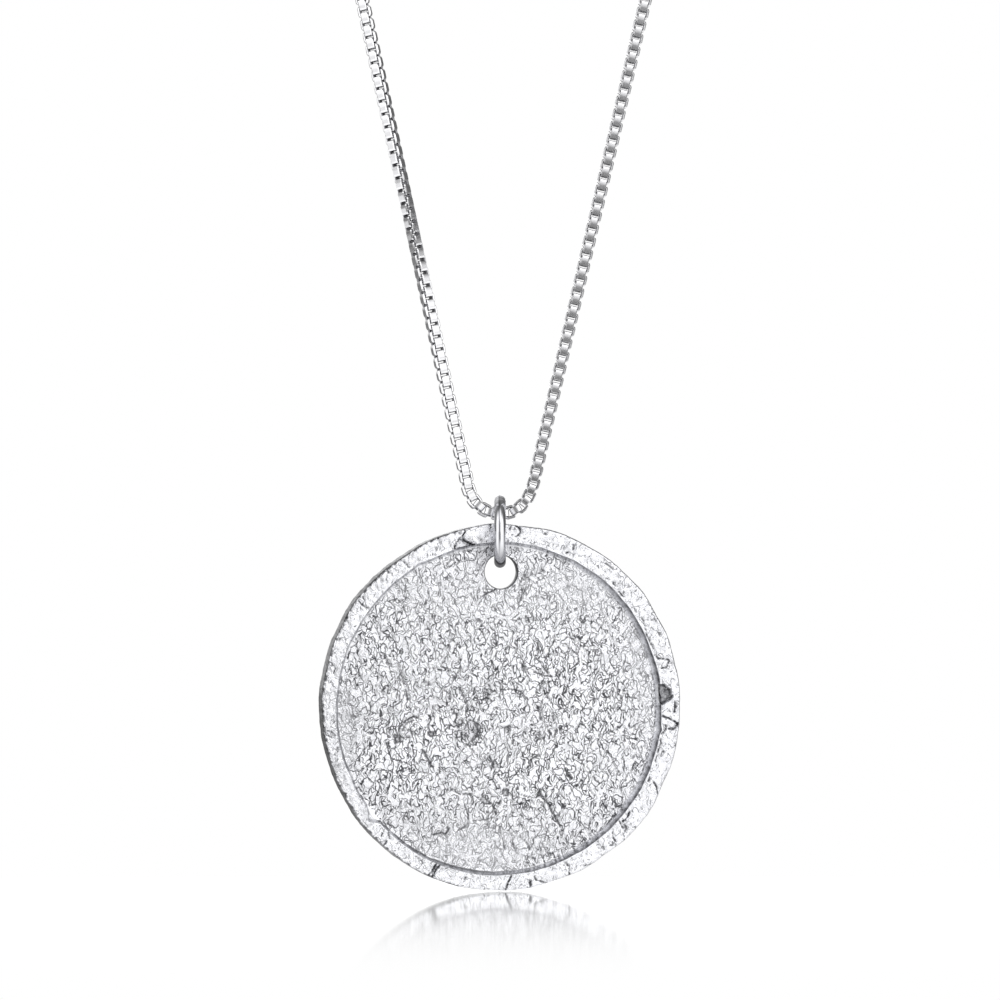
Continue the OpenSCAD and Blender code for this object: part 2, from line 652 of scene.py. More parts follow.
@dataclass(frozen=True)
class SilverFinish:
    """Polished or satin silver, with fine scratches, and darker where the mesh carries painted shade. Sizes
    are in mm.
    """

    name: str
    tones: Tones = Tones(bright=(0.93, 0.93, 0.945), dark=(0.16, 0.16, 0.175))
    roughness: float = 0.2
    roughness_spread: float = 0.1
    dull_roughness: float = 0.15
    scratch_depth: float = 0.0016
    scratch_size: float = 0.09
    patch_size: float = 0.7
    patch_levels: tuple[float, float] = (0.5, 0.75)
    patch_share: float = 0.15
    # The stored painted shade that darkens this silver, if it has one
    shade_name: Optional[str] = None

    def material(self) -> bpy.types.Material:
        """Draws up the material.

        Returns:
            The finished material.
        """
        material, sheet = Sheet.of_material(self.name)
        place = sheet.place()
        patches = sheet.grain(place, MM_PER_METRE / self.patch_size, 3.0)
        scratches = sheet.grain(place, MM_PER_METRE / self.scratch_size, 2.0)
        tarnish_and_shade = patches.rise(*self.patch_levels) * self.patch_share
        # Painted shade stored on the mesh darkens the silver where it is stronger than the tarnish patches
        if self.shade_name:
            tarnish_and_shade = tarnish_and_shade.greater(sheet.shade(self.shade_name))
        roughness = self.roughness + self.roughness_spread * (patches - 0.5) + self.dull_roughness * tarnish_and_shade
        sheet.silver(self.tones, tarnish_and_shade, roughness, scratches, self.scratch_depth * METRES_PER_MM)
        return material


class Scar(NamedTuple):
    """A crack, or the outline of a pit, charted over the photograph in its pixels.

    The line width and the depth are in millimetres. A pit has an inside, which is greyed by that share.
    """

    corners: tuple[tuple[float, float], ...]
    width: float
    depth: float
    inside: float = 0.0


RIM_SCARS = (
    Scar(((466, 528), (466, 532), (464, 535), (459, 539)), 0.09, 0.12),
    Scar(((460, 533), (461, 534)), 0.1, 0.1),
    Scar(((455, 540), (455, 546)), 0.06, 0.05),
    Scar(((456, 548), (458, 542), (464, 538), (470, 543), (478, 545), (470, 548), (459, 550)),
         0.06, 0.5, 0.3),
    Scar(((466, 540), (472, 543)), 0.08, 0.1),
    Scar(((473, 540), (477, 545)), 0.07, 0.05),
    Scar(((483, 537), (480, 541)), 0.06, 0.05),
    Scar(((491, 524), (491, 528)), 0.1, 0.1),
    Scar(((437, 547), (437, 551)), 0.06, 0.05),
    Scar(((512, 526), (516, 525), (520, 528), (521, 532), (517, 536), (511, 534), (510, 530)),
         0.05, 0.08, 0.12),
    Scar(((516, 525), (520, 528), (521, 532), (519, 535)), 0.08, 0.08),
    Scar(((521, 537), (525, 539)), 0.06, 0.04),
    Scar(((545, 533), (547, 535)), 0.09, 0.06),
    Scar(((548, 542), (549, 547)), 0.06, 0.05),
    Scar(((574, 544), (575, 546), (574, 549)), 0.11, 0.14),
    Scar(((567, 553), (569, 552)), 0.12, 0.14),
    Scar(((574, 554), (574, 555)), 0.1, 0.08),
    Scar(((604, 561), (614, 570)), 0.06, 0.04),
    Scar(((614, 583), (617, 587), (620, 583)), 0.08, 0.1),
    Scar(((620, 592), (624, 597)), 0.08, 0.1),
    Scar(((643, 618), (648, 636), (655, 650)), 0.07, 0.06),
    Scar(((654, 618), (657, 623)), 0.06, 0.05),
    Scar(((660, 633), (662, 637)), 0.09, 0.08),
    Scar(((657, 655), (659, 659), (669, 660), (673, 664)), 0.09, 0.12),
    Scar(((670, 663), (668, 668), (663, 669)), 0.1, 0.12),
    Scar(((659, 686), (666, 687), (671, 691), (673, 698), (669, 701), (664, 704), (658, 702)),
         0.12, 0.35, 0.75),
    Scar(((677, 703), (677, 708), (676, 713)), 0.13, 0.16),
    Scar(((664, 717), (670, 719), (677, 723), (679, 725)), 0.09, 0.12),
    Scar(((679, 725), (676, 730), (671, 730)), 0.12, 0.16),
    Scar(((667, 726), (667, 731), (663, 735)), 0.08, 0.08),
    Scar(((662, 740), (662, 745), (660, 750), (659, 756), (656, 763)), 0.08, 0.08),
    Scar(((665, 752), (662, 756)), 0.08, 0.06),
    Scar(((651, 778), (649, 783)), 0.09, 0.08),
    Scar(((653, 780), (658, 788), (659, 795)), 0.09, 0.12),
    Scar(((631, 813), (627, 821), (624, 822)), 0.12, 0.16),
    Scar(((620, 822), (624, 829)), 0.08, 0.1),
    Scar(((625, 825), (628, 828), (626, 832)), 0.09, 0.1),
    Scar(((614, 832), (613, 835), (616, 842)), 0.08, 0.1),
    Scar(((611, 846), (617, 845), (617, 848)), 0.07, 0.08),
    Scar(((599, 849), (604, 847), (605, 850)), 0.06, 0.06),
    Scar(((583, 866), (591, 865)), 0.07, 0.06),
    Scar(((566, 862), (569, 866), (570, 874)), 0.08, 0.12),
    Scar(((512, 875), (509, 881), (506, 889)), 0.1, 0.14),
    Scar(((531, 881), (531, 885)), 0.12, 0.14),
    Scar(((535, 876), (537, 879)), 0.11, 0.1),
    Scar(((540, 880), (545, 882)), 0.08, 0.08),
    Scar(((438, 860), (433, 869), (429, 873)), 0.09, 0.16),
    Scar(((440, 863), (436, 870), (432, 876)), 0.09, 0.16),
    Scar(((417, 854), (423, 858), (424, 861)), 0.07, 0.08),
    Scar(((466, 875), (464, 880)), 0.08, 0.08),
    Scar(((384, 830), (383, 833)), 0.1, 0.1),
    Scar(((388, 838), (385, 843)), 0.1, 0.12),
    Scar(((390, 830), (391, 836)), 0.07, 0.08),
    Scar(((325, 722), (324, 727)), 0.13, 0.1),
    Scar(((327, 728), (333, 728), (338, 732), (335, 735), (329, 732)), 0.05, 0.08, 0.25),
    Scar(((340, 744), (337, 752)), 0.06, 0.05),
    Scar(((337, 780), (341, 788)), 0.12, 0.12),
    Scar(((348, 790), (348, 800)), 0.08, 0.1),
    Scar(((405, 561), (411, 568)), 0.07, 0.1),
    Scar(((388, 568), (391, 572)), 0.08, 0.08),
    Scar(((365, 596), (366, 600), (364, 604), (361, 600)), 0.07, 0.08),
    Scar(((365, 604), (370, 608)), 0.07, 0.06),
    Scar(((350, 611), (348, 617)), 0.08, 0.06),
    Scar(((333, 660), (338, 666), (336, 671)), 0.07, 0.06),
)

FIELD_SCARS = (
    Scar(((470, 719), (477, 722), (482, 729), (479, 736), (473, 740), (468, 744), (465, 738), (465, 729)),
         0.08, 0.12, 0.3),
    Scar(((476, 724), (479, 730), (476, 736)), 0.18, 0.05),
    Scar(((459, 719), (463, 719), (463, 723), (459, 724)), 0.07, 0.06, 0.3),
    Scar(((456, 730), (462, 730), (462, 736), (457, 737)), 0.07, 0.06, 0.15),
    Scar(((505, 727), (509, 726), (510, 732), (506, 733)), 0.07, 0.06, 0.35),
    Scar(((537, 733), (540, 732), (540, 739), (536, 741)), 0.07, 0.06, 0.1),
    Scar(((490, 756), (493, 762), (494, 767)), 0.17, 0.1),
    Scar(((424, 749), (428, 756), (432, 765)), 0.16, 0.12),
    Scar(((459, 685), (465, 698), (468, 706), (467, 711)), 0.1, 0.08),
    Scar(((485, 690), (487, 702)), 0.1, 0.08),
    Scar(((500, 682), (501, 690), (511, 689), (521, 691), (521, 695)), 0.08, 0.07),
    Scar(((522, 663), (527, 669), (526, 672), (523, 670)), 0.07, 0.08, 0.45),
    Scar(((535, 672), (545, 676), (556, 677), (559, 670)), 0.09, 0.07),
    Scar(((536, 658), (541, 663), (548, 673)), 0.08, 0.07),
    Scar(((538, 642), (539, 653)), 0.09, 0.07),
    Scar(((543, 681), (540, 691)), 0.08, 0.07),
    Scar(((544, 690), (549, 699), (552, 703)), 0.09, 0.07),
    Scar(((541, 702), (541, 720)), 0.09, 0.07),
    Scar(((552, 710), (555, 724)), 0.08, 0.06),
    Scar(((526, 770), (532, 763), (531, 760), (540, 755)), 0.09, 0.08),
    Scar(((434, 833), (443, 831), (446, 833), (450, 827)), 0.13, 0.1),
    Scar(((455, 789), (460, 793), (473, 793)), 0.09, 0.08),
    Scar(((478, 796), (485, 797), (495, 805), (486, 803)), 0.05, 0.1, 0.35),
    Scar(((483, 794), (488, 800), (492, 803)), 0.1, 0.1),
    Scar(((504, 789), (508, 789), (509, 794), (505, 796), (503, 793)), 0.09, 0.08, 0.4),
    Scar(((497, 803), (500, 803), (501, 800)), 0.1, 0.08),
    Scar(((513, 805), (524, 803), (527, 808)), 0.08, 0.08),
    Scar(((516, 797), (523, 795), (531, 798), (534, 804)), 0.07, 0.06),
    Scar(((538, 797), (540, 790), (543, 796)), 0.12, 0.1, 0.6),
    Scar(((543, 797), (548, 803), (553, 812), (557, 820), (561, 827)), 0.1, 0.1),
    Scar(((459, 829), (465, 826), (469, 822)), 0.1, 0.08),
    Scar(((475, 820), (485, 819), (495, 817)), 0.06, 0.05),
    Scar(((500, 826), (501, 832)), 0.1, 0.08),
    Scar(((503, 838), (505, 848)), 0.08, 0.06),
    Scar(((513, 842), (517, 853)), 0.08, 0.06),
    Scar(((527, 842), (530, 849)), 0.1, 0.07),
    Scar(((542, 843), (549, 855)), 0.08, 0.06),
    Scar(((400, 730), (402, 724), (407, 719), (415, 715), (419, 717)), 0.11, 0.1),
    Scar(((403, 729), (408, 722), (414, 719)), 0.07, 0.06),
    Scar(((405, 729), (412, 728), (413, 734), (407, 736)), 0.07, 0.06, 0.2),
    Scar(((396, 733), (401, 734), (402, 740), (397, 741)), 0.1, 0.12, 0.5),
    Scar(((429, 731), (435, 731), (434, 735), (429, 735)), 0.09, 0.08, 0.5),
    Scar(((388, 741), (391, 752)), 0.09, 0.08),
    Scar(((455, 712), (458, 713), (457, 718)), 0.12, 0.1),
    Scar(((471, 705), (478, 713)), 0.07, 0.06),
    Scar(((489, 684), (493, 692)), 0.08, 0.06),
    Scar(((449, 691), (451, 697)), 0.08, 0.06),
    Scar(((434, 705), (434, 715)), 0.09, 0.07),
    Scar(((423, 678), (431, 684)), 0.08, 0.06),
    Scar(((396, 682), (402, 672), (405, 683)), 0.09, 0.08),
    Scar(((383, 690), (389, 684), (389, 692)), 0.09, 0.08),
    Scar(((407, 690), (409, 698)), 0.13, 0.1),
    Scar(((385, 654), (391, 665)), 0.1, 0.08),
    Scar(((483, 596), (490, 592), (497, 589)), 0.1, 0.1),
    Scar(((387, 723), (391, 728), (390, 735)), 0.07, 0.06),
    Scar(((521, 600), (523, 592), (521, 584)), 0.08, 0.06),
)


class Patch(NamedTuple):
    """A soft-edged patch, charted over the photograph: its middle and half sizes in pixels, its strength."""

    x: float
    y: float
    wide: float
    high: float
    strength: float


# Grey patches painted on the face: the first two are the ring's painted shadow, left and right of it, the
# last two are grey patches at two notches
RING_SHADOW_AND_GREY_PATCHES = (
    Patch(x=489.0, y=553.0, wide=12.0, high=36.0, strength=0.36),
    Patch(x=516.0, y=549.0, wide=22.0, high=9.0, strength=0.2),
    Patch(x=372.0, y=812.0, wide=12.0, high=12.0, strength=0.2),
    Patch(x=468.0, y=546.0, wide=14.0, high=7.0, strength=0.2),
)

# Where the field's texture is coarser, and where it is worn
WEAR = (
    Patch(x=400.0, y=757.0, wide=62.0, high=60.0, strength=0.32),
    Patch(x=545.0, y=668.0, wide=95.0, high=58.0, strength=0.15),
    Patch(x=598.0, y=715.0, wide=56.0, high=62.0, strength=0.14),
    Patch(x=535.0, y=772.0, wide=58.0, high=40.0, strength=0.2),
    Patch(x=462.0, y=728.0, wide=50.0, high=42.0, strength=0.14),
    Patch(x=375.0, y=640.0, wide=42.0, high=56.0, strength=0.15),
    Patch(x=575.0, y=790.0, wide=56.0, high=42.0, strength=0.15),
    Patch(x=475.0, y=852.0, wide=92.0, high=40.0, strength=-0.24),
    Patch(x=343.0, y=735.0, wide=27.0, high=70.0, strength=-0.3),
    Patch(x=500.0, y=592.0, wide=190.0, high=40.0, strength=-0.12),
    Patch(x=650.0, y=660.0, wide=28.0, high=95.0, strength=-0.2),
    Patch(x=600.0, y=586.0, wide=60.0, high=34.0, strength=-0.2),
)


class Nick(NamedTuple):
    """A place where the sunk field reaches further into the rim.

    Its angle and its width on either side are in degrees, anticlockwise from the right, and its reach is in
    millimetres.
    """

    angle: float
    before: float
    after: float
    reach: float


NICKS = (
    Nick(angle=219.6, before=4.5, after=3.4, reach=0.6),
    Nick(angle=120.0, before=3.0, after=2.0, reach=0.12),
    Nick(angle=352.0, before=2.0, after=2.5, reach=0.14),
)


class Weave(NamedTuple):
    """One family of marks on the cast face: a noise, the lines on one level of it and its relief.

    The noise has its lumps' size in millimetres, its place and how many finer layers it has. The lines have
    the level that draws them, their half width in millimetres and their strength, each with what a hard
    press adds. The relief rises from one level of the noise to another, by a height in millimetres.
    """

    size: float
    at: float
    detail: float
    level: float
    half: float
    half_pressed: float
    ink: float
    ink_pressed: float
    low: float = 0.0
    high: float = 1.0
    depth: float = 0.0


WORMS = Weave(
    size=0.76, at=21.0, detail=1.5, level=0.48, half=0.022, half_pressed=0.01, ink=0.55, ink_pressed=0.45,
    low=0.4, high=0.56, depth=0.012,
)
BEADS = Weave(
    size=0.5, at=29.0, detail=0.5, level=0.585, half=0.021, half_pressed=0.009, ink=0.45, ink_pressed=0.5,
    low=0.46, high=0.68, depth=0.01,
)
SEEDS = Weave(
    size=0.36, at=53.0, detail=0.0, level=0.6, half=0.026, half_pressed=0.0, ink=0.9, ink_pressed=-0.5,
)
FOLDS = Weave(
    size=1.9, at=37.0, detail=3.0, level=0.49, half=0.021, half_pressed=0.015, ink=0.5, ink_pressed=0.5,
    low=0.43, high=0.55, depth=0.014,
)


class Lumps(NamedTuple):
    """A flat noise: its lumps' size in millimetres, its place and how many finer layers it has."""

    size: float
    at: float
    detail: float


PRESS = Lumps(size=0.5, at=61.0, detail=1.0)
OTHER_PRESS = Lumps(size=0.6, at=67.0, detail=1.0)
BROAD = Lumps(size=3.2, at=71.0, detail=1.0)
HAMMERED = Lumps(size=0.9, at=83.0, detail=2.5)
DENTS = Lumps(size=0.35, at=97.0, detail=1.0)
SPECKS = Lumps(size=0.3, at=103.0, detail=1.0)
WEB = Lumps(size=0.14, at=43.0, detail=1.0)
BENT_ACROSS = Lumps(size=0.8, at=3.0, detail=2.0)
BENT_ALONG = Lumps(size=0.8, at=11.0, detail=2.0)
PATCHES = Lumps(size=1.4, at=5.0, detail=3.0)
BEATEN = Lumps(size=2.3, at=131.0, detail=2.0)


@dataclass(frozen=True)
class CoinSurface:
    """The coin's cast texture. Its relief shapes the mesh, and its fine lines shade the material.

    Coordinates are millimetres on the coin's face, x to the right and y up, from the coin's centre.
    """

    field_shift: tuple[float, float] = (-0.25, -0.1)
    field_radius: float = 12.52
    rim_radius: float = 12.78
    share_run: float = 0.15
    warp: float = 0.3
    stretch: float = 0.66
    press_levels: tuple[float, float] = (0.38, 0.56)
    broad_depth: float = 0.02
    field_sink: float = 0.07
    hammer_depth: float = 0.04
    dent_levels: tuple[float, float] = (0.36, 0.3)
    dent_depth: float = 0.05
    web_levels: tuple[float, float] = (0.032, 0.008)
    web_share: float = 0.4
    worn_web_share: float = 1.0
    least_web_share: float = 0.2
    rim_web_share: float = 0.4
    rim_web_pressed: float = 0.8
    speck_levels: tuple[float, float] = (0.3, 0.22)
    speck_strength: float = 0.8
    scribble_half: float = 0.022
    scribble_strength: float = 0.75
    slope_reach: float = 0.03
    flattest: float = 0.2

    def noise(self, weave: Weave, sheet: Sheet, x: Wire, y: Wire) -> Wire:
        """The noise of a family of marks, which is drawn out upwards."""
        return sheet.cloud(x, y * self.stretch, weave.size, weave.at, weave.detail)

    def contour(self, weave: Weave, sheet: Sheet, x: Wire, y: Wire) -> Wire:
        """How far a place lies from the nearest line of a family of marks.

        Args:
            weave: The family.
            sheet: The sheet that the nodes go on.
            x: The first coordinate.
            y: The second coordinate.

        Returns:
            The distance in millimetres.
        """
        here = self.noise(weave, sheet, x, y)
        across = self.noise(weave, sheet, x + self.slope_reach, y) - here
        along = self.noise(weave, sheet, x, y + self.slope_reach) - here
        square = across * across + along * along
        slope = square.worked("SQRT", square) * (1.0 / self.slope_reach)
        return abs(here - weave.level) / slope.greater(self.flattest)

    def bent(self, sheet: Sheet, x: Wire, y: Wire) -> tuple[Wire, Wire]:
        """Bends the coordinates, so that no pattern on them looks regular.

        Args:
            sheet: The sheet that the nodes go on.
            x: The first coordinate.
            y: The second coordinate.

        Returns:
            Both coordinates, bent.
        """
        across = sheet.cloud(x, y, *BENT_ACROSS) - 0.5
        along = sheet.cloud(x, y, *BENT_ALONG) - 0.5
        return x + across * (2 * self.warp), y + along * (2 * self.warp)

    def field_share(self, distance: Wire) -> Wire:
        """1 on the field, 0 on the rim."""
        return distance.rise(self.field_radius, self.field_radius - self.share_run)

    def rim_share(self, distance: Wire) -> Wire:
        """1 on the rim's face, 0 on the field."""
        return distance.rise(self.rim_radius - self.share_run, self.rim_radius)

    def from_step(self, x: Wire, y: Wire) -> Wire:
        """Measures from the middle of the sunk field, which lies a little off the coin's.

        Args:
            x: The first coordinate.
            y: The second coordinate.

        Returns:
            The distance in millimetres.
        """
        off_x, off_y = x - self.field_shift[0], y - self.field_shift[1]
        square = off_x * off_x + off_y * off_y
        return square.worked("SQRT", square)

    def height(self, sheet: Sheet, x: Wire, y: Wire, rough: Wire) -> Wire:
        """The relief of the face in millimetres.

        Args:
            sheet: The sheet that the nodes go on.
            x: The first coordinate.
            y: The second coordinate.
            rough: How strong the field's texture is here, about 1.

        Returns:
            How far the face stands out.
        """
        distance = self.from_step(x, y)
        bent_x, bent_y = self.bent(sheet, x, y)
        worms, beads, folds = (
            self.noise(weave, sheet, bent_x, bent_y).rise(weave.low, weave.high) * weave.depth
            for weave in (WORMS, BEADS, FOLDS)
        )
        broad = (sheet.cloud(x, y, *BROAD) - 0.5) * self.broad_depth
        on_field = (worms + beads + folds) * rough + broad - self.field_sink
        hammered = (sheet.cloud(x, y, *HAMMERED) - 0.5) * (2 * self.hammer_depth)
        dents = sheet.cloud(bent_x, bent_y, *DENTS).rise(*self.dent_levels) * -self.dent_depth
        return on_field * self.field_share(distance) + (hammered + dents) * self.rim_share(distance)

    def lines(self, sheet: Sheet, x: Wire, y: Wire, rough: Wire) -> Wire:
        """The fine dark lines of the face.

        Args:
            sheet: The sheet that the nodes go on.
            x: The first coordinate.
            y: The second coordinate.
            rough: How strong the field's texture is here, about 1.

        Returns:
            1 in the lines and 0 beside them.
        """
        distance = self.from_step(x, y)
        bent_x, bent_y = self.bent(sheet, x, y)
        press, other_press = (
            sheet.cloud(x, y, *lumps).rise(*self.press_levels) for lumps in (PRESS, OTHER_PRESS)
        )
        away = {weave: self.contour(weave, sheet, bent_x, bent_y) for weave in (WORMS, BEADS, SEEDS, FOLDS)}
        drawn = self.inked(WORMS, away[WORMS], press)
        for weave, pressed in ((BEADS, other_press), (SEEDS, other_press), (FOLDS, press)):
            drawn = drawn.greater(self.inked(weave, away[weave], pressed))
        web = abs(sheet.cloud(bent_x, bent_y, *WEB) - 0.5).rise(*self.web_levels)
        web_strength = self.web_share + self.worn_web_share * (1.0 - rough)
        web = web * web_strength.greater(self.least_web_share)
        on_field = (drawn * rough).lesser(1.0).greater(web) * self.field_share(distance)
        specks = sheet.cloud(bent_x, bent_y, *SPECKS).rise(*self.speck_levels) * self.speck_strength
        scribbles = self.stroke(away[BEADS], self.scribble_half) * (self.scribble_strength * other_press)
        rim_web = web * (self.rim_web_share + self.rim_web_pressed * press)
        on_rim = specks.greater(scribbles).greater(rim_web) * self.rim_share(distance)
        return on_field.greater(on_rim)

    def inked(self, weave: Weave, away: Wire, press: Wire) -> Wire:
        """The lines of a family of marks, wider and stronger or weaker where they are pressed.

        Args:
            weave: The family.
            away: How far the place lies from its nearest line.
            press: How hard the line is pressed here.

        Returns:
            How dark the line is, from 0 to 1.
        """
        half_width = weave.half + weave.half_pressed * press
        return self.stroke(away, half_width) * (weave.ink + weave.ink_pressed * press)

    @staticmethod
    def stroke(distance: Wire, half_width: Value) -> Wire:
        """A soft-edged stroke: 1 within half its half-width of the line, 0 past one and a half of it."""
        return (distance / half_width).rise(1.5, 0.5)


@dataclass(frozen=True)
class CoinFinish:
    """Cast silver: bright on the ridges, dark in the lines and splits. Sizes are in millimetres."""

    surface: CoinSurface
    centre: Vector
    turn: float
    tones: Tones = Tones(bright=(0.945, 0.95, 0.985), dark=(0.05, 0.05, 0.056))
    line_strength: float = 0.97
    line_depth: float = 0.02
    line_roughness: float = 0.15
    roughness: float = 0.24
    roughness_spread: float = 0.2
    patch_levels: tuple[float, float] = (0.56, 0.8)
    patch_share: float = 0.12
    grain_size: float = 0.12
    grain_depth: float = 0.008

    def material(self) -> bpy.types.Material:
        """Draws up the material.

        Returns:
            The finished material.
        """
        material, sheet = Sheet.of_material("cast_silver")
        place = sheet.place()
        from_centre = sheet.add("ShaderNodeVectorMath", {"operation": "SUBTRACT"}, {0: place, 1: self.centre})
        across = Vector((math.cos(self.turn), math.sin(self.turn), 0.0)) * MM_PER_METRE
        x = sheet.dot(from_centre, across)
        y = sheet.dot(from_centre, (0.0, 0.0, MM_PER_METRE))
        lines = self.surface.lines(sheet, x, y, sheet.shade("rough")) * sheet.shade("face")
        # The painted shade, the ring's painted shadow and the grey marks stored on the mesh darken the coin
        # as its lines do
        dark = (lines * self.line_strength).greater(sheet.shade("marks_and_painted_shade"))
        patches = sheet.cloud(x, y, *PATCHES)
        tarnish_and_shade = dark.greater(patches.rise(*self.patch_levels) * self.patch_share)
        grain = sheet.grain(place, MM_PER_METRE / self.grain_size, 2.0)
        height = grain * self.grain_depth - lines * self.line_depth
        roughness = self.roughness + (patches - 0.5) * self.roughness_spread + lines * self.line_roughness
        sheet.silver(self.tones, tarnish_and_shade, roughness, height, METRES_PER_MM)
        return material


class Waves(NamedTuple):
    """Random waves round the coin: from and up to how many, their size in millimetres and how it falls."""

    first: int
    end: int
    size: float
    fall: float


OUTLINE_WAVES = Waves(first=3, end=30, size=0.05, fall=0.6)
STEP_WAVES = Waves(first=4, end=60, size=0.11, fall=0.5)


@dataclass(frozen=True)
class Plan:
    """Where the plain coin's vertices lie before they are moved.

    It holds their distance and angle from the middle, 1 for those of the face and 0 for those of the back,
    and an uneven value about 0 that roughens outlines.
    """

    points: np.ndarray
    distance: np.ndarray
    angle: np.ndarray
    front: np.ndarray
    ragged: np.ndarray


@dataclass
class Coin:
    """The coin: a cast disc with a raised, hammered rim, a sunk field and a hole for the ring.

    Sizes are in millimetres. The shades are greys that are painted on, from 0 to 1, and fitted to the
    brightness
    of the photograph: painted shade and painted dark reflections on the step's wall, on the side wall and in
    the hole, the ring's painted shadow on the rim, and the greys of the scars and of two grey patches.
    """

    turn: float = 12.0
    set_back: float = 0.1
    rim_width: float = 1.3
    step_run: float = 0.2
    step_steepness: float = 1.2
    right_run: float = 0.13
    right_run_from: float = 1.2
    field_depth: float = 0.7
    field_thickness: float = 1.15
    edge_bevel: float = 0.25
    front_edge_bevel: float = 0.17
    hole_radius: float = 1.3
    hole_inset: float = 3.65
    hole_bevel: float = 0.2
    front_bevel: float = 0.09
    hole_sides: int = 96
    # Painted shade and painted dark reflections, from 0 to 1: on the step's wall from its foot to its lip and
    # on its left, on the side wall, and in the hole
    foot_shade: float = 0.22
    lip_shade: float = 1.0
    lip_shade_bend: float = 1.6
    left_shade: float = 0.5
    step_margins: tuple[float, float] = (0.04, 0.03)
    step_raggedness: float = 0.3
    side_shade: tuple[float, float] = (0.3, 0.8)
    side_raggedness: float = 0.25
    side_least_reach: float = 0.03
    side_reach: float = 0.08
    side_reach_raggedness: float = 0.16
    side_most_reach: float = 0.17
    side_full_at: float = 0.7
    left_from: tuple[float, float] = (0.05, 0.35)
    right_lean: float = 0.15
    hole_shade: float = 0.9
    scar_shade: float = 0.95
    scar_core: float = 0.35
    scar_raggedness: float = 0.05
    pit_edge: float = 0.08
    pit_raggedness: float = 0.5
    deepest: float = 0.12
    rim_below_top: tuple[float, float] = (0.3, 0.1)
    field_above_foot: tuple[float, float] = (0.05, 0.2)
    outline_from_edge: tuple[float, float] = (0.9, 0.1)
    outline_limits: tuple[float, float] = (-0.16, 0.1)
    step_from: tuple[float, float] = (11.0, 12.2)
    step_until: tuple[float, float] = (13.0, 13.8)
    step_wander: float = 0.14
    nick_from: float = 1.2
    nick_to_edge: float = 0.1
    nick_point: float = 1.3
    face_from: tuple[float, float] = (0.3, 0.45)
    patch_core: float = 0.3
    patch_raggedness: float = 0.2
    ragged_sizes: tuple[float, ...] = (0.9, 0.6, 0.45, 0.3, 0.22)
    ragged_waves: int = 4
    ragged_strength: float = 0.12
    ragged_tilt: float = 0.8
    relief_ends: tuple[float, float] = (14.05, 13.7)
    beaten_depth: float = 0.08
    beaten_below: tuple[float, float] = (-0.3, -0.5)
    side_from: tuple[float, float] = (13.6, 13.95)
    side_dent: float = 0.12
    side_dent_scale: float = 1.6
    photo_centre: tuple[float, float] = (503.8, 706.7)
    photo_scale: tuple[float, float] = (12.77, 13.05)
    field_parallax: float = 1.9
    field_cells: int = 224
    rim_rings: int = 13
    wall_levels: tuple[float, ...] = (0.25, 0.5, 0.75, 0.93)
    face_ends: tuple[float, float] = (0.02, 0.99)
    bevel_angles: tuple[float, ...] = (18.0, 40.0, 62.0, 90.0)
    side_levels: tuple[float, ...] = (1.1, 0.45, -0.2)
    back_cells: int = 104
    seed: int = 7706
    surface: CoinSurface = field(default_factory=CoinSurface)

    def build(self) -> bpy.types.Object:
        """Models the coin and hands it over.

        Returns:
            The finished coin.
        """
        low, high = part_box("coin")
        radius = (high.z - low.z) * MM_PER_METRE / 2
        centre = Vector((0.0, self.set_back, (low.z + high.z) * MM_PER_METRE / 2))
        coin = self._blank(radius)
        Bench.unite(coin, [self._hole_cutter(radius)], "DIFFERENCE")
        self._sculpt(coin, radius)
        self._texture(coin)
        turn = math.radians(self.turn)
        placing = Matrix((
            (math.cos(turn), 0.0, math.sin(turn), centre.x),
            (math.sin(turn), 0.0, -math.cos(turn), centre.y),
            (0.0, 1.0, 0.0, centre.z),
            (0.0, 0.0, 0.0, 1.0),
        ))
        Bench.lay(coin, placing, smooth_angle=50.0)
        finish = CoinFinish(self.surface, centre * METRES_PER_MM, turn)
        coin.data.materials.clear()
        coin.data.materials.append(finish.material())
        Bench.hand_over(coin, Body.PENDANT, Slot.COIN, "coin")
        return coin

    def _disc(self, name: str, cells: int, radius: float) -> bpy.types.Object:
        """A round disc of even quads, made from a square grid.

        Args:
            name: The disc's name.
            cells: Quads along each side of the grid.
            radius: The disc's radius.

        Returns:
            The disc, in the XY plane.
        """
        Bench.clear()
        bpy.ops.mesh.primitive_grid_add(x_subdivisions=cells, y_subdivisions=cells, size=2.0)
        disc = Bench.fresh(name)
        points = Bench.points(disc)
        x, y = points[:, 0], points[:, 1]
        wide = np.abs(x) > np.abs(y)
        reach = np.where(wide, x, y)
        divisor = np.where(reach == 0.0, 1.0, reach)
        angle = np.where(wide, math.pi / 4 * y / divisor, math.pi / 2 - math.pi / 4 * x / divisor)
        places = np.column_stack((reach * np.cos(angle), reach * np.sin(angle), np.zeros(len(x))))
        Bench.move_points(disc, places * radius)
        return disc

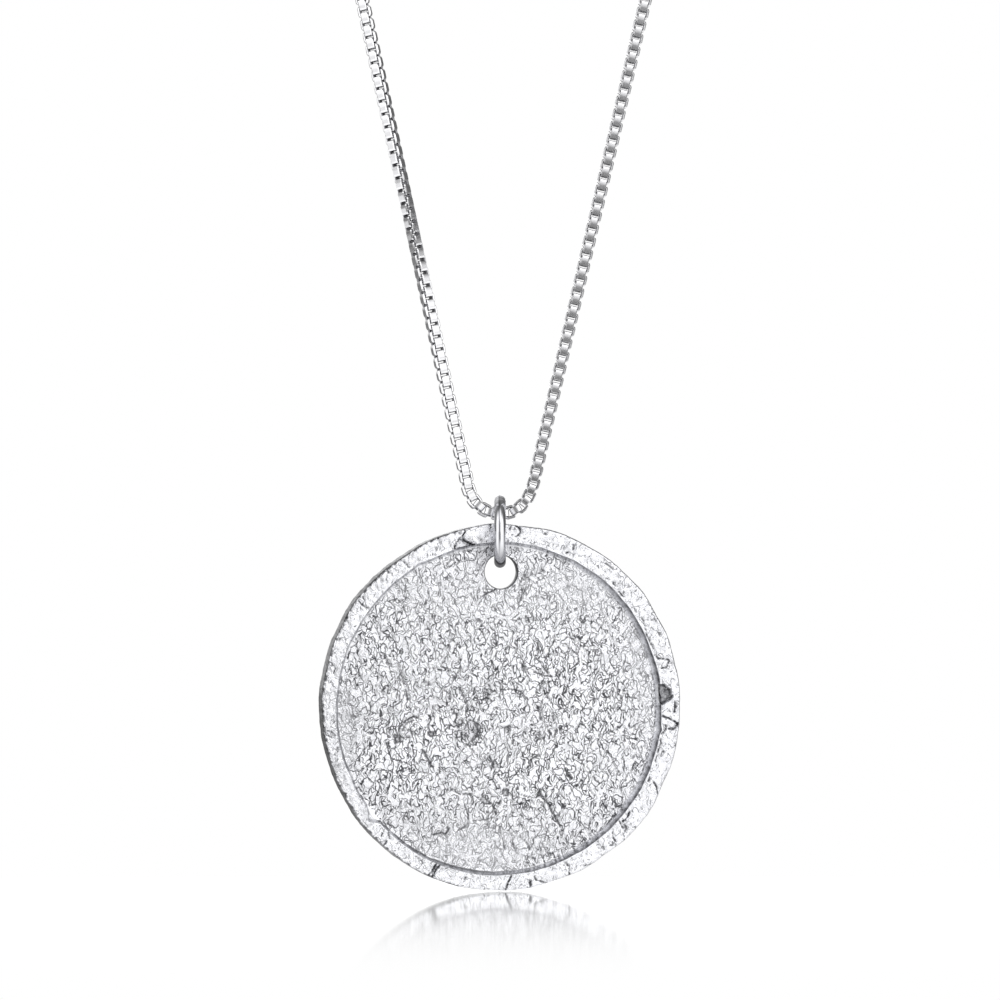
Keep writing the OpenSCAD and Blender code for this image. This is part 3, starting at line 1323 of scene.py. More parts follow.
    def _profile(self, radius: float) -> list[tuple[float, float]]:
        """The coin's section outside the field, from the foot of the step round to the back.

        Args:
            radius: The coin's radius.

        Returns:
            Radius and height of each ring of points.
        """
        foot = self.field_thickness / 2
        top = foot + self.field_depth
        inner = radius - self.rim_width
        run, lip_bevel, heel_bevel = self.step_run, self.front_edge_bevel, self.edge_bevel
        flat = radius - lip_bevel
        wall = [
            (inner - run * (1.0 - share), foot + share ** self.step_steepness * self.field_depth)
            for share in self.wall_levels
        ]
        shares = [(ring + 0.5) / self.rim_rings for ring in range(self.rim_rings)]
        first, last = self.face_ends
        face = [(inner + share * (flat - inner), top) for share in (first, *shares, last)]
        turns = [math.radians(angle) for angle in self.bevel_angles]
        lip = [(flat + lip_bevel * math.sin(turn), top - lip_bevel * (1 - math.cos(turn))) for turn in turns]
        side = [(radius, foot * level) for level in self.side_levels]
        back_flat = radius - heel_bevel
        heel = [
            (back_flat + heel_bevel * math.cos(turn), heel_bevel * (1 - math.sin(turn)) - foot)
            for turn in turns
        ]
        return wall + face + lip + side + [(radius, heel_bevel - foot)] + heel

    def _blank(self, radius: float) -> bpy.types.Object:
        """The plain coin, closed, with no hole.

        Args:
            radius: The coin's radius.

        Returns:
            The coin in millimetres, its face towards +Z.
        """
        foot = self.field_thickness / 2
        field_radius = radius - self.rim_width - self.step_run
        back = self._disc("coin_back", self.back_cells, radius - 2 * self.edge_bevel)
        Bench.move_points(back, Bench.points(back) * np.array((1.0, -1.0, 1.0)) - np.array((0.0, 0.0, foot)))
        coin = self._disc("coin_disc", self.field_cells, field_radius)
        Bench.move_points(coin, Bench.points(coin) + np.array((0.0, 0.0, foot)))
        Bench.take(coin)
        bpy.ops.object.mode_set(mode="EDIT")
        bpy.ops.mesh.select_mode(type="EDGE")
        bpy.ops.mesh.select_all(action="DESELECT")
        bpy.ops.mesh.select_non_manifold(use_wire=False, use_multi_face=False, use_verts=False)
        now, level = field_radius, foot
        for ring, height in self._profile(radius):
            bpy.ops.mesh.extrude_region_move(TRANSFORM_OT_translate={"value": (0.0, 0.0, height - level)})
            bpy.ops.transform.resize(value=(ring / now, ring / now, 1.0), center_override=(0.0, 0.0, 0.0))
            now, level = ring, height
        Bench.take(coin, back)
        bpy.ops.object.join()
        bpy.ops.object.mode_set(mode="EDIT")
        bpy.ops.mesh.select_all(action="DESELECT")
        bpy.ops.mesh.select_non_manifold(use_wire=False, use_multi_face=False, use_verts=False)
        bpy.ops.mesh.bridge_edge_loops()
        bpy.ops.object.mode_set(mode="OBJECT")
        Bench.weld(coin)
        return coin

    def _hole_cutter(self, radius: float) -> bpy.types.Object:
        """The solid that cuts the ring's hole, flared at both mouths.

        Args:
            radius: The coin's radius.

        Returns:
            The cutter.
        """
        back, front, bore = self.hole_bevel, self.front_bevel, self.hole_radius
        half = self.field_thickness / 2
        past = self.field_depth + self.field_thickness
        levels = ((-past, bore + 2 * back), (-half - back, bore + 2 * back), (back - half, bore),
                  (half - front, bore), (half + front, bore + 2 * front), (past, bore + 2 * front))
        Bench.clear()
        height, now = levels[0]
        middle = (0.0, radius - self.hole_inset, 0.0)
        bpy.ops.mesh.primitive_circle_add(
            vertices=self.hole_sides, radius=now, fill_type="NGON", location=(middle[0], middle[1], height)
        )
        cutter = Bench.fresh("hole_cutter")
        bpy.ops.object.mode_set(mode="EDIT")
        bpy.ops.mesh.select_all(action="SELECT")
        for level, reach in levels[1:]:
            bpy.ops.mesh.extrude_region_move(TRANSFORM_OT_translate={"value": (0.0, 0.0, level - height)})
            scale = reach / now
            bpy.ops.transform.resize(value=(scale, scale, 1.0), center_override=(middle[0], middle[1], level))
            height, now = level, reach
        bpy.ops.object.mode_set(mode="OBJECT")
        Bench.take(cutter)
        bpy.ops.object.transform_apply(location=True, rotation=True, scale=True)
        Bench.weld(cutter)
        return cutter

    def _sculpt(self, coin: bpy.types.Object, radius: float) -> None:
        """Works the coin by hand: its uneven outline, its off-centre field, its splits and its dents.

        Args:
            coin: The plain coin.
            radius: Its radius.
        """
        random = np.random.default_rng(self.seed)
        points = Bench.points(coin)
        plan = Plan(
            points=points.copy(),
            distance=np.hypot(points[:, 0], points[:, 1]),
            angle=np.arctan2(points[:, 1], points[:, 0]),
            front=smooth(points[:, 2], 0.0, self.field_thickness / 2),
            ragged=self._ragged(points, random),
        )
        shades = self._shades(plan, radius)
        rough = 1.0 + sum(self._patch_share(plan, patch) for patch in WEAR)
        self._wander(points, plan, radius, random)
        self._nick(points, plan, radius)
        shades = self._scratch(points, plan, shades)
        Bench.move_points(coin, points)
        Bench.mark(coin, "marks_and_painted_shade", np.clip(shades, 0.0, 1.0))
        Bench.mark(coin, "face", smooth(points[:, 2], *self.face_from))
        Bench.mark(coin, "rough", rough)

    def _climb(self, plan: Plan, radius: float) -> tuple[float, float, np.ndarray, np.ndarray]:
        """The step from the field up to the rim.

        Args:
            plan: Where the vertices lie.
            radius: The coin's radius.

        Returns:
            The radius of the step's top and of its foot, how far up it each vertex lies, and how far to the
            right.
        """
        inner = radius - self.rim_width
        foot = inner - self.step_run
        right = np.sqrt(np.maximum(np.cos(plan.angle + self.right_lean), 0.0))
        return inner, foot, smooth(plan.distance, foot, inner), right

    def _shades(self, plan: Plan, radius: float) -> np.ndarray:
        """The painted shade of the step, the side wall and the hole, the ring's painted shadow and two grey
        patches.

        Args:
            plan: Where the vertices lie.
            radius: The coin's radius.

        Returns:
            The shade of each vertex.
        """
        distance, ragged = plan.distance, plan.ragged
        inner, foot, climbed, right = self._climb(plan, radius)
        # Painted shade and dark reflection on the step's wall: even on the left, on the right from light at
        # the foot to darkest at the lip
        before, after = self.step_margins
        wall = smooth(distance, foot - before, foot + HAIR)
        wall = wall * (1.0 - smooth(distance, inner - HAIR, inner + after))
        right_wall = self.foot_shade + (self.lip_shade - self.foot_shade) * climbed ** self.lip_shade_bend
        shades = wall * plan.front * (self.left_shade + (right_wall - self.left_shade) * right)
        shades *= 1.0 + self.step_raggedness * ragged
        # Painted dark reflection on the side wall and a ragged strip of the front edge, darker and wider on
        # the left
        left = smooth(-np.cos(plan.angle), *self.left_from)
        reach = np.clip(self.side_reach + self.side_reach_raggedness * ragged, 0.0, self.side_most_reach)
        reach = self.side_least_reach + left * reach
        side = smooth(distance, radius - reach, radius - self.side_full_at * reach) * plan.front
        side = np.maximum(side, distance > radius - HAIR)
        least, most = self.side_shade
        shades = np.maximum(shades, side * (least + (most - least) * left + self.side_raggedness * ragged))
        # Painted shade in the hole
        from_hole = np.hypot(plan.points[:, 0], plan.points[:, 1] - radius + self.hole_inset)
        shades = np.maximum(shades, self.hole_shade * (from_hole < self.hole_radius + HAIR))
        # The ring's painted shadow on the rim, and two grey patches
        for grey_patch in RING_SHADOW_AND_GREY_PATCHES:
            shades = np.maximum(shades, self._patch_share(plan, grey_patch) * plan.front)
        return shades

    def _wander(
        self, points: np.ndarray, plan: Plan, radius: float, random: np.random.Generator
    ) -> None:
        """Makes the step wider on the right, the outline uneven, and the sunk field off-centre.

        Args:
            points: The vertices, which are moved.
            plan: Where they lay.
            radius: The coin's radius.
            random: The source of the waves.
        """
        distance = plan.distance
        _, foot, climbed, right = self._climb(plan, radius)
        spread = smooth(distance, foot - self.right_run_from, foot) * (1.0 - climbed) * right * plan.front
        points[:, 0] -= spread * self.right_run
        start, end = self.outline_from_edge
        edge = smooth(distance, radius - start, radius - end)
        outline = np.clip(self._waved(plan.angle, OUTLINE_WAVES, random), *self.outline_limits)
        points[:, :2] *= (1.0 + edge * outline / radius)[:, None]
        step = smooth(distance, *self.step_from) * (1.0 - smooth(distance, *self.step_until)) * plan.front
        wander = self.step_wander * self._waved(plan.angle, STEP_WAVES, random)
        for axis, outwards in enumerate((np.cos(plan.angle), np.sin(plan.angle))):
            points[:, axis] += step * (self.surface.field_shift[axis] + wander * outwards)

    @staticmethod
    def _waved(angle: np.ndarray, waves: Waves, random: np.random.Generator) -> np.ndarray:
        """Adds up random waves round the coin.

        Args:
            angle: The angle of each vertex.
            waves: The waves.
            random: Where their heights and phases come from.

        Returns:
            A value about 0 for each vertex.
        """
        total = np.zeros(len(angle))
        for count in range(waves.first, waves.end):
            height = waves.size / count ** waves.fall * random.normal()
            total += height * np.cos(count * angle + random.uniform(0, 2 * math.pi))
        return total

    def _nick(self, points: np.ndarray, plan: Plan, radius: float) -> None:
        """Lets the sunk field reach further into the rim at each nick.

        Args:
            points: The vertices, which are moved.
            plan: Where they lay.
            radius: The coin's radius.
        """
        inner, foot, _, _ = self._climb(plan, radius)
        outer = radius - self.nick_to_edge
        reached = smooth(plan.distance, inner - self.nick_from, foot)
        reached = reached * np.clip((outer - plan.distance) / (outer - inner), 0.0, 1.0)
        for nick in NICKS:
            off = (np.degrees(plan.angle) - nick.angle + 180.0) % 360.0 - 180.0
            beside = np.abs(off) / np.where(off < 0.0, nick.before, nick.after)
            push = nick.reach * np.clip(1.0 - beside, 0.0, 1.0) ** self.nick_point * reached * plan.front
            points[:, 0] += push * np.cos(plan.angle)
            points[:, 1] += push * np.sin(plan.angle)

    def _scratch(self, points: np.ndarray, plan: Plan, shades: np.ndarray) -> np.ndarray:
        """Sinks the charted cracks and pits into the rim and the field.

        Args:
            points: The vertices, which are moved.
            plan: Where they lay.
            shades: The shade of each vertex so far.

        Returns:
            The shades with those of the cracks and pits.
        """
        foot = self.field_thickness / 2
        top = foot + self.field_depth
        start, end = self.rim_below_top
        on_rim = smooth(points[:, 2], top - start, top - end)
        start, end = self.field_above_foot
        on_field = plan.front * (1.0 - smooth(points[:, 2], foot + start, foot + end))
        for scars, share, shift in ((RIM_SCARS, on_rim, 0.0), (FIELD_SCARS, on_field, self.field_parallax)):
            for scar in scars:
                away, inside = self._from_scar(points, scar, shift)
                ragged_away = away + self.scar_raggedness * plan.ragged
                line = 1.0 - smooth(ragged_away, self.scar_core * scar.width, scar.width)
                shades = np.maximum(shades, self.scar_shade * line * share)
                sunk = line
                if scar.inside > 0.0:
                    within = np.where(inside, smooth(away, 0.0, self.pit_edge), 0.0)
                    grey = scar.inside * (1.0 + self.pit_raggedness * plan.ragged)
                    shades = np.maximum(shades, grey * within * share)
                    sunk = np.maximum(line, within)
                points[:, 2] -= scar.depth * sunk * share
        face = plan.front > 0.99
        points[face, 2] = np.maximum(points[face, 2], foot - self.deepest)
        return shades

    def _patch_share(self, plan: Plan, patch: Patch) -> np.ndarray:
        """How strongly a patch covers each of the coin's points.

        Args:
            plan: Where the vertices lie.
            patch: The patch.

        Returns:
            The patch's strength at each vertex.
        """
        across = plan.points[:, 0] * self.photo_scale[0] + self.photo_centre[0] - patch.x
        down = self.photo_centre[1] - plan.points[:, 1] * self.photo_scale[1] - patch.y
        away = np.hypot(across / patch.wide, down / patch.high)
        away = away + self.patch_raggedness * plan.ragged
        return patch.strength * (1.0 - smooth(away, self.patch_core, 1.0))

    def _from_scar(self, points: np.ndarray, scar: Scar, shift: float) -> tuple[np.ndarray, np.ndarray]:
        """How far the coin's points lie from a scar's line, and which of them it encloses.

        Args:
            points: The vertices.
            scar: The scar.
            shift: How many pixels further left the scar's surface shows in the photograph, for its depth.

        Returns:
            The distances in millimetres, and for each point whether it is inside.
        """
        corners = [
            np.array(((x - self.photo_centre[0] + shift) / self.photo_scale[0],
                      (self.photo_centre[1] - y) / self.photo_scale[1]))
            for x, y in scar.corners
        ]
        closed = scar.inside > 0.0
        away = np.full(len(points), np.inf)
        inside = np.zeros(len(points), bool)
        for start, end in zip(corners, corners[1:] + corners[:1] if closed else corners[1:]):
            leg = end - start
            share = np.clip((points[:, :2] - start) @ leg / (leg @ leg), 0.0, 1.0)
            off = points[:, :2] - start - share[:, None] * leg
            away = np.minimum(away, np.hypot(off[:, 0], off[:, 1]))
            crossed = (start[1] > points[:, 1]) != (end[1] > points[:, 1])
            rise = leg[1] if leg[1] != 0.0 else 1.0
            inside ^= crossed & (points[:, 0] < start[0] + (points[:, 1] - start[1]) * leg[0] / rise)
        return away, inside & closed

    def _ragged(self, points: np.ndarray, random: np.random.Generator) -> np.ndarray:
        """A small uneven field of values that roughens the outlines of the dents.

        Args:
            points: The vertices.
            random: The source of its waves.

        Returns:
            A value about 0 for each vertex.
        """
        ragged = np.zeros(len(points))
        for size in self.ragged_sizes:
            for _ in range(self.ragged_waves):
                heading = random.uniform(0, 2 * math.pi)
                tilt = random.uniform(-self.ragged_tilt, self.ragged_tilt)
                along = points @ np.array((math.cos(heading), math.sin(heading), tilt))
                phase = random.uniform(0, 2 * math.pi)
                ragged += self.ragged_strength * np.sin(2 * math.pi * along / size + phase)
        return ragged

    def _texture(self, coin: bpy.types.Object) -> None:
        """Raises the cast texture on the face, and hammers the side and the back lightly.

        Args:
            coin: The sculpted coin, its face towards +Z.
        """
        blank, sheet = Sheet.of_geometry("cast_texture")
        place = sheet.add("GeometryNodeInputPosition")
        x, y, z = sheet.split(place)
        square = x * x + y * y
        distance = square.worked("SQRT", square)
        edge = distance.rise(*self.relief_ends)
        raised = self.surface.height(sheet, x, y, sheet.stored("rough")) * sheet.stored("face") * edge
        beaten = (sheet.cloud(x, y, *BEATEN) - 0.5) * -self.beaten_depth
        back = z.rise(*self.beaten_below) * edge * beaten
        dented = sheet.grain(place, self.side_dent_scale, 3.0) - 0.5
        outward = distance.rise(*self.side_from) * dented * self.side_dent
        aside, up = (part / distance.greater(1.0) * outward for part in (x, y))
        offset = sheet.joined(aside, up, raised + back)
        moved = sheet.add("GeometryNodeSetPosition", None, {"Geometry": blank, "Offset": offset})
        sheet.add("NodeGroupOutput", None, {"Geometry": moved})
        Bench.apply(coin, "NODES", node_group=sheet.tree)


class Twist(NamedTuple):
    """How far the chain is turned about its own line, at a height in millimetres."""

    height: float
    degrees: float


@dataclass
class ChainRoute:
    """The chain's centre line. Its points and its curve are those of the CAD tube."""

    points: tuple[tuple[float, float], ...] = (
        (-6.6, 0), (-12.1, -1.6), (-17.5, -4.2), (-23.7, -8.8), (-28.9, -14.7), (-32.8, -21.6),
        (-35.2, -29), (-36, -36.7), (-35.2, -44.6), (-31.85, -60), (-27.55, -80), (-23.2, -100),
        (-18.9, -120), (-14.55, -140), (-10.25, -160), (-5.9, -180), (-3.1, -193), (-2.65, -195),
        (-2.45, -196), (-1.95, -197.05), (-1.1, -197.75), (0, -198),
        (1.1, -197.75), (1.95, -197.05), (2.45, -196),
        (2.7, -195), (3.15, -193), (6.15, -180), (10.8, -160), (15.45, -140), (20.1, -120),
        (24.75, -100), (29.4, -80), (34.05, -60), (37.5, -45.1), (38.4, -36.7), (37.6, -29),
        (35.2, -21.6), (31.3, -14.9), (26, -9.2), (19.7, -4.8), (13.4, -2), (6.6, 0),
    )
    samples_per_leg: int = 80

    def headings(self) -> np.ndarray:
        """The line's direction at each point.

        Returns:
            One unit vector for each point.
        """
        route = np.array(self.points, float)
        legs = np.diff(route, axis=0)
        lengths = np.hypot(legs[:, 0], legs[:, 1])[:, None]
        curved = legs[:-1] / lengths[:-1] ** 2 + legs[1:] / lengths[1:] ** 2
        curved /= np.hypot(curved[:, 0], curved[:, 1])[:, None]
        units = legs / lengths
        first = 2 * (curved[0] @ units[0]) * units[0] - curved[0]
        last = 2 * (curved[-1] @ units[-1]) * units[-1] - curved[-1]
        return np.vstack((first, curved, last))

    def line(self) -> np.ndarray:
        """Many points close together along the whole line.

        Returns:
            Rows of x and z.
        """
        route = np.array(self.points, float)
        headings = self.headings()
        share = np.linspace(0.0, 1.0, self.samples_per_leg, endpoint=False)[:, None]
        square, cube = share ** 2, share ** 3
        stretches = []
        for start, end, leave, arrive in zip(route, route[1:], headings, headings[1:]):
            reach = np.hypot(*(end - start))
            stretches.append(
                (2 * cube - 3 * square + 1) * start
                + (3 * square - 2 * cube) * end
                + reach * ((cube - 2 * square + share) * leave + (cube - square) * arrive)
            )
        return np.vstack((*stretches, route[-1:]))

    def stations(self, pitch: float, margin: float) -> tuple[np.ndarray, np.ndarray]:
        """Evenly spaced places along the line.

        Args:
            pitch: The wanted distance between two of them.
            margin: How far the first and the last stay from the line's ends.

        Returns:
            Their places and the line's direction at each, as rows of x and z.
        """
        line = self.line()
        legs = np.diff(line, axis=0)
        travelled = np.concatenate(((0.0,), np.cumsum(np.hypot(legs[:, 0], legs[:, 1]))))
        count = round((travelled[-1] - 2 * margin) / pitch) + 1
        where = np.linspace(margin, travelled[-1] - margin, count)

        def at(places: np.ndarray) -> np.ndarray:
            """The line's points at these distances along it."""
            return np.column_stack([np.interp(places, travelled, line[:, axis]) for axis in (0, 1)])

        ahead = at(where + pitch / 2) - at(where - pitch / 2)
        return at(where), ahead / np.hypot(ahead[:, 0], ahead[:, 1])[:, None]


@dataclass
class BoxChain:
    """The box chain: short square links, each turned a quarter against the next.

    Sizes are in millimetres and turns in degrees. The shades are greys that are painted on, from 0 to 1, and
    are fitted to the brightness of the photograph: painted shade inside the links, and painted dark
    reflections on their flat plates and end walls.
    """

    link_width: float = 1.0
    link_length: float = 0.88
    strip: float = 0.59
    wall: float = 0.2
    corner: float = 0.2
    chamfer: float = 0.06
    pitch: float = 0.5
    # Painted shade inside each link, and painted dark reflections on its flat plates and end walls
    inner_shade: float = 0.85
    plate_shade: float = 0.24
    end_shade: float = 0.3
    squarest: float = 0.98
    end_margin: float = 0.02
    lowest_half: float = 3.0
    route: ChainRoute = field(default_factory=ChainRoute)
    left_twist: tuple[Twist, ...] = (
        Twist(height=-189.0, degrees=-14.0),
        Twist(height=-176.0, degrees=-45.0),
        Twist(height=-158.0, degrees=-80.0),
        Twist(height=-100.0, degrees=-90.0),
    )
    right_turn: float = 4.0
    finish: SilverFinish = SilverFinish(
        name="chain_silver_finish", roughness=0.15, roughness_spread=0.08, scratch_depth=0.0012,
        shade_name="marks_and_painted_shade",
    )

    def build(self) -> bpy.types.Object:
        """Models one link, lays it along the whole route and hands the chain over.

        Returns:
            The finished chain.
        """
        link = self._link()
        chain = self._places()
        self._fill(chain, link)
        bpy.data.objects.remove(link)
        Bench.lay(chain, Matrix.Identity(4), smooth_angle=35.0)
        chain.data.materials.clear()
        chain.data.materials.append(self.finish.material())
        Bench.hand_over(chain, Body.NECK_LOOP, Slot.CHAIN, "chain")
        return chain

    def _link(self) -> bpy.types.Object:
        """One link: a short square tube across the chain, with rounded corners and chamfered rims.

        Returns:
            The link in millimetres. The chain runs along its Z axis, and its plates face +Y and -Y.
        """
        Bench.clear()
        bpy.ops.mesh.primitive_cube_add(size=1.0)
        link = Bench.fresh("box_link")
        link.scale = (self.strip, self.link_width, self.link_length)
        bpy.ops.object.transform_apply(location=False, rotation=False, scale=True)
        Bench.pick(link, "FACE", [abs(face.normal.x) > FACING for face in link.data.polygons])
        bpy.ops.mesh.delete(type="ONLY_FACE")
        bpy.ops.object.mode_set(mode="OBJECT")
        x = Bench.points(link)[:, 0]
        ends = [edge.vertices for edge in link.data.edges]
        Bench.pick(link, "EDGE", [abs(x[first] - x[second]) > self.strip / 2 for first, second in ends])
        bpy.ops.mesh.bevel(offset=self.corner, offset_type="OFFSET", segments=2, profile=0.5)
        bpy.ops.object.mode_set(mode="OBJECT")
        Bench.weld(link)
        Bench.apply(link, "SOLIDIFY", thickness=self.wall, offset=-1.0, use_even_offset=True)
        Bench.apply(link, "BEVEL", width=self.chamfer, segments=1, limit_method="ANGLE", angle_limit=SHARP)
        # Painted shade: darkest on the inner faces, grey on the flat plates and end walls as painted dark
        # reflections, none on the chamfers and rounded corners
        shades = []
        for face in link.data.polygons:
            middle, normal = face.center, face.normal
            outward = middle.y * normal.y + middle.z * normal.z
            flat = max(abs(normal.x), abs(normal.y), abs(normal.z)) > self.squarest
            if outward < -HAIR:
                shades.append(self.inner_shade)
            elif flat and abs(normal.y) > FACING:
                shades.append(self.plate_shade)
            elif flat and abs(normal.z) > FACING:
                shades.append(self.end_shade)
            else:
                shades.append(0.0)
        carried = link.data.attributes.new("marks_and_painted_shade", "FLOAT", "FACE")
        carried.data.foreach_set("value", shades)
        return link

    def _roll(self, side: float, height: float) -> float:
        """How far the chain is turned about its line.

        Args:
            side: Below 0 on the left strand, above 0 on the right one.
            height: The height of the place.

        Returns:
            The turn in degrees.
        """
        low, turn = self.left_twist[0]
        if side > 0 or height < low:
            share = np.clip((side + self.lowest_half) / (2 * self.lowest_half), 0.0, 1.0)
            return turn + (share if height < low else 1.0) * (self.right_turn - turn)
        heights = [twist.height for twist in self.left_twist]
        return float(np.interp(height, heights, [twist.degrees for twist in self.left_twist]))

    def _places(self) -> bpy.types.Object:
        """A mesh of loose points, one for each link, that carry each link's turn.

        Returns:
            The points.
        """
        places, headings = self.route.stations(self.pitch, self.link_length / 2 + self.end_margin)
        turns = []
        for number, ((x, z), (run, rise)) in enumerate(zip(places, headings)):
            roll = math.radians(self._roll(x, z) + 90.0 * (number % 2))
            ahead = Vector((run, 0.0, rise))
            towards = Vector((0.0, -1.0, 0.0))
            aside = ahead.cross(towards)
            plate = math.cos(roll) * towards + math.sin(roll) * aside
            across = plate.cross(ahead)
            turns.append(Matrix((across, plate, ahead)).transposed().to_euler())
        mesh = bpy.data.meshes.new("chain")
        mesh.from_pydata([(x, 0.0, z) for x, z in places], [], [])
        carried = mesh.attributes.new("turn", "FLOAT_VECTOR", "POINT")
        carried.data.foreach_set("vector", np.array(turns).ravel())
        chain = bpy.data.objects.new("chain_links", mesh)
        bpy.context.scene.collection.objects.link(chain)
        return chain

    def _fill(self, chain: bpy.types.Object, link: bpy.types.Object) -> None:
        """Sets a copy of the link at each place and makes them one mesh.

        Args:
            chain: The places.
            link: The link.
        """
        places, sheet = Sheet.of_geometry("link_by_link")
        turn = sheet.stored("turn", "FLOAT_VECTOR")
        rotation = sheet.add("FunctionNodeEulerToRotation", None, {0: turn})
        shape = sheet.add("GeometryNodeObjectInfo", None, {"Object": link}, "Geometry")
        set_out = sheet.add(
            "GeometryNodeInstanceOnPoints", None, {"Points": places, "Instance": shape, "Rotation": rotation}
        )
        realized = sheet.add("GeometryNodeRealizeInstances", None, {"Geometry": set_out})
        sheet.add("NodeGroupOutput", None, {"Geometry": realized})
        Bench.apply(chain, "NODES", node_group=sheet.tree)


class Streak(NamedTuple):
    """A grey streak that is painted along the ring's wire, fitted to the photograph's dark reflections.

    Its middle and half its width are in degrees round the wire, 0 on the ring's outside and 90 on its right.
    """

    middle: float
    half: float
    shade: float


@dataclass
class JumpRing:
    """The jump ring: a round wire ring, soldered at one place. Sizes are in mm and angles in degrees."""

    wire: float = 0.9
    seam_angle: float = 205.0
    seam_width: float = 0.05
    seam_depth: float = 0.03
    turns: int = 160
    sides: int = 48
    # Painted dark reflections along the wire
    streaks: tuple[Streak, ...] = (
        Streak(middle=50.0, half=24.0, shade=0.5),
        Streak(middle=-7.0, half=10.0, shade=0.95),
        Streak(middle=-62.0, half=34.0, shade=0.6),
        Streak(middle=180.0, half=60.0, shade=0.4),
    )
    # Painted shade low on the ring's front, and where round the ring it rises and falls
    front_shade: float = 0.6
    front_rises: tuple[float, float] = (-78.0, -45.0)
    front_falls: tuple[float, float] = (0.0, 40.0)
    fading: float = 0.15
    fading_turns: float = 3.0
    fading_start: float = 40.0
    uneven: float = 0.006
    uneven_waves: tuple[float, float] = (7.0, 11.0)
    finish: SilverFinish = SilverFinish(
        name="ring_silver_finish",
        tones=Tones(bright=(0.925, 0.93, 0.96), dark=(0.16, 0.16, 0.175)),
        roughness=0.1,
        roughness_spread=0.06,
        shade_name="marks_and_painted_shade",
    )

    def build(self) -> bpy.types.Object:
        """Models the ring and hands it over.

        Returns:
            The finished ring.
        """
        low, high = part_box("jump_ring")
        middle = (low + high) / 2 * MM_PER_METRE
        mean = (high.z - low.z) * MM_PER_METRE / 2 - self.wire / 2
        Bench.clear()
        bpy.ops.mesh.primitive_torus_add(
            major_radius=mean,
            minor_radius=self.wire / 2,
            major_segments=self.turns,
            minor_segments=self.sides,
        )
        ring = Bench.fresh("jump_ring_wire")
        points = Bench.points(ring)
        angle = np.arctan2(points[:, 1], points[:, 0])
        core = np.column_stack((np.cos(angle), np.sin(angle), np.zeros(len(angle)))) * mean
        off = np.angle(np.exp(1j * (angle - math.radians(self.seam_angle)))) * mean
        pinch = 1.0 - 2 * self.seam_depth / self.wire * np.exp(-((off / self.seam_width) ** 2))
        few, many = self.uneven_waves
        drawn = 1.0 - self.uneven * (1.0 + np.sin(few * angle) * np.cos(many * angle))
        round_wire = np.arctan2(points[:, 2], ((points - core) * core).sum(axis=1) / mean)
        # Painted dark reflections along the wire, and painted shade low on the ring's front
        Bench.mark(ring, "marks_and_painted_shade", self._streaks(np.degrees(round_wire), np.degrees(angle)))
        Bench.move_points(ring, core + (points - core) * (pinch * drawn)[:, None])
        Bench.weld(ring)
        placing = Matrix.Translation(middle) @ Matrix.Rotation(math.pi / 2, 4, "Y")
        Bench.lay(ring, placing, smooth_angle=60.0)
        ring.data.materials.append(self.finish.material())
        Bench.hand_over(ring, Body.RING, Slot.RING, "jump_ring")
        return ring

    def _streaks(self, round_wire: np.ndarray, along: np.ndarray) -> np.ndarray:
        """The painted dark reflections along the wire, and the painted shade low on the ring's front.

        Args:
            round_wire: Where each vertex lies round the wire, in degrees, 0 on the ring's outside.
            along: Where it lies round the ring, in degrees, 0 at its lowest point and -90 in front.

        Returns:
            The shade of each vertex.
        """
        wave = np.sin(np.radians(self.fading_turns * along + self.fading_start))
        fading = 1.0 - self.fading + self.fading * wave
        shade = np.zeros(len(round_wire))
        for streak in self.streaks:
            off = np.abs((round_wire - streak.middle + 180.0) % 360.0 - 180.0)
            share = 1.0 - smooth(off, 0.5 * streak.half, streak.half)
            shade = np.maximum(shade, streak.shade * fading * share)
        front = smooth(along, *self.front_rises) * (1.0 - smooth(along, *self.front_falls))
        return np.maximum(shade, self.front_shade * front)


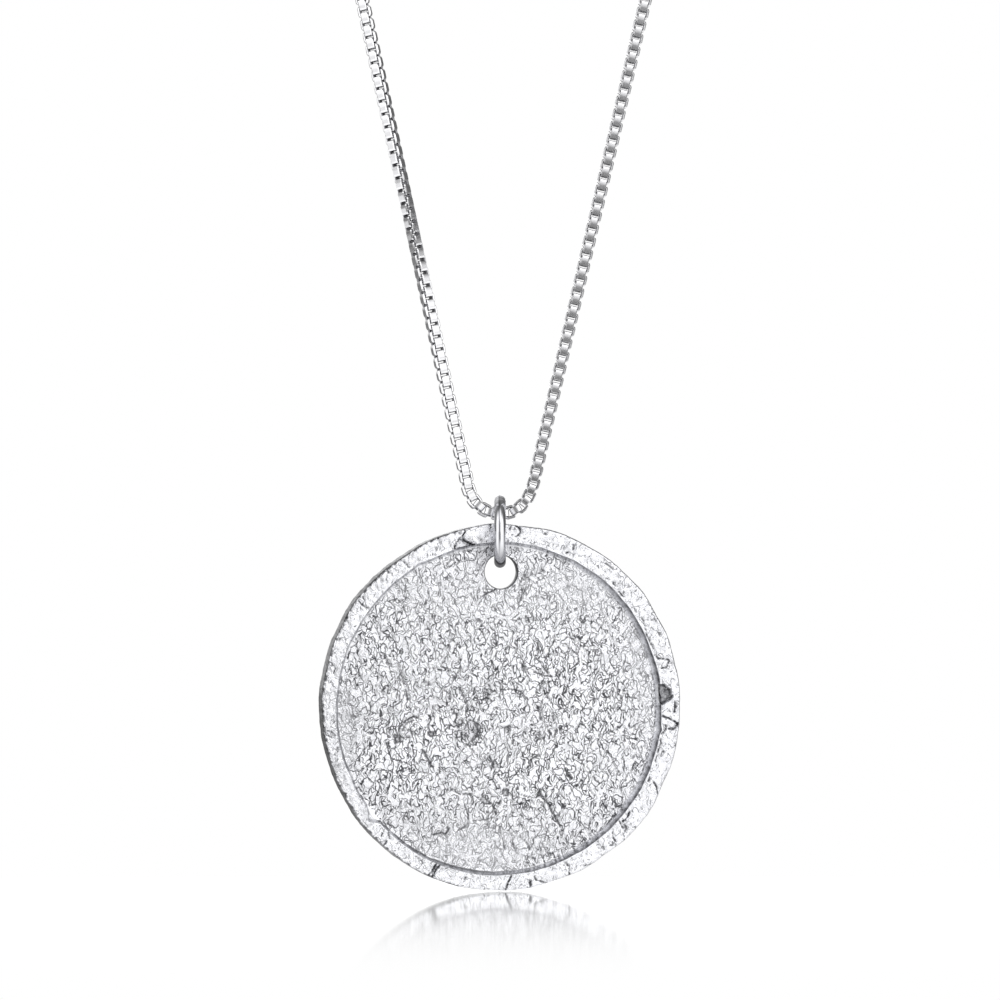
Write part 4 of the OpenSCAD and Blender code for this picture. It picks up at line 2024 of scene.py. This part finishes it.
@dataclass
class Clasp:
    """The clasp at the nape, in one piece: a closing ring, an eye on each side and a cap on each end."""

    ring_diameter: float = 5.5
    ring_wire: float = 1.1
    eye_diameter: float = 2.6
    eye_wire: float = 0.6
    cap_diameter: float = 1.4
    cap_bevel: float = 0.16
    cap_sides: int = 40
    ring_turns: int = 80
    ring_sides: int = 28
    play: float = 0.05
    route: ChainRoute = field(default_factory=ChainRoute)
    finish: SilverFinish = SilverFinish(name="clasp_silver_finish", roughness=0.14)

    def build(self) -> bpy.types.Object:
        """Models the clasp and hands it over.

        Returns:
            The finished clasp.
        """
        eye_mean = (self.eye_diameter - self.eye_wire) / 2
        eye_x = self.ring_diameter / 2 + eye_mean
        clasp = self._wire_ring("clasp_body", 0.0, (self.ring_diameter - self.ring_wire) / 2, self.ring_wire)
        others = [self._wire_ring("eye", side * eye_x, eye_mean, self.eye_wire) for side in (-1.0, 1.0)]
        others += [self._cap(side, eye_x + eye_mean) for side in (-1.0, 1.0)]
        Bench.unite(clasp, others)
        Bench.clean(clasp)
        Bench.lay(clasp, Matrix.Identity(4), smooth_angle=50.0)
        clasp.data.materials.clear()
        clasp.data.materials.append(self.finish.material())
        Bench.hand_over(clasp, Body.NECK_LOOP, Slot.CLASP, "clasp")
        return clasp

    def _wire_ring(self, name: str, x: float, mean: float, wire: float) -> bpy.types.Object:
        """One round wire ring, lying flat.

        Args:
            name: Its name.
            x: Where its middle is.
            mean: Its mean radius.
            wire: Its wire's diameter.

        Returns:
            The ring.
        """
        Bench.clear()
        bpy.ops.mesh.primitive_torus_add(
            location=(x, 0.0, self.ring_wire / 2),
            major_radius=mean,
            minor_radius=wire / 2,
            major_segments=self.ring_turns,
            minor_segments=self.ring_sides,
        )
        ring = Bench.fresh(name)
        bpy.ops.object.transform_apply(location=True, rotation=True, scale=True)
        Bench.weld(ring)
        return ring

    def _cap(self, side: float, reach: float) -> bpy.types.Object:
        """The round cap on one end of the chain, with softened ends.

        Args:
            side: -1 on the left, 1 on the right.
            reach: How far from the middle the cap ends.

        Returns:
            The cap.
        """
        end = self.route.points[0]
        heading = self.route.headings()[0]
        slope = math.atan2(-heading[1], -heading[0])
        length = -end[0] - reach
        Bench.clear()
        bpy.ops.mesh.primitive_cylinder_add(
            vertices=self.cap_sides,
            radius=self.cap_diameter / 2,
            depth=length,
            location=(0.0, 0.0, self.play + length / 2),
        )
        cap = Bench.fresh("cap")
        bpy.ops.object.transform_apply(location=True, rotation=True, scale=True)
        Bench.apply(cap, "BEVEL", width=self.cap_bevel, segments=3, limit_method="ANGLE", angle_limit=SHARP)
        cap.matrix_world = (
            Matrix.Scale(-side, 4, (1.0, 0.0, 0.0))
            @ Matrix.Translation((end[0], 0.0, end[1]))
            @ Matrix.Rotation(math.pi / 2 - slope, 4, "Y")
        )
        Bench.take(cap)
        bpy.ops.object.transform_apply(location=True, rotation=True, scale=True)
        Bench.weld(cap)
        return cap


def main() -> None:
    """Builds the studio and the necklace, piece by piece."""
    logging.basicConfig(level=logging.INFO, format="%(name)s %(message)s")
    Studio().build()
    Coin().build()
    BoxChain().build()
    JumpRing().build()
    Clasp().build()


if __name__ == "__main__":
    main()
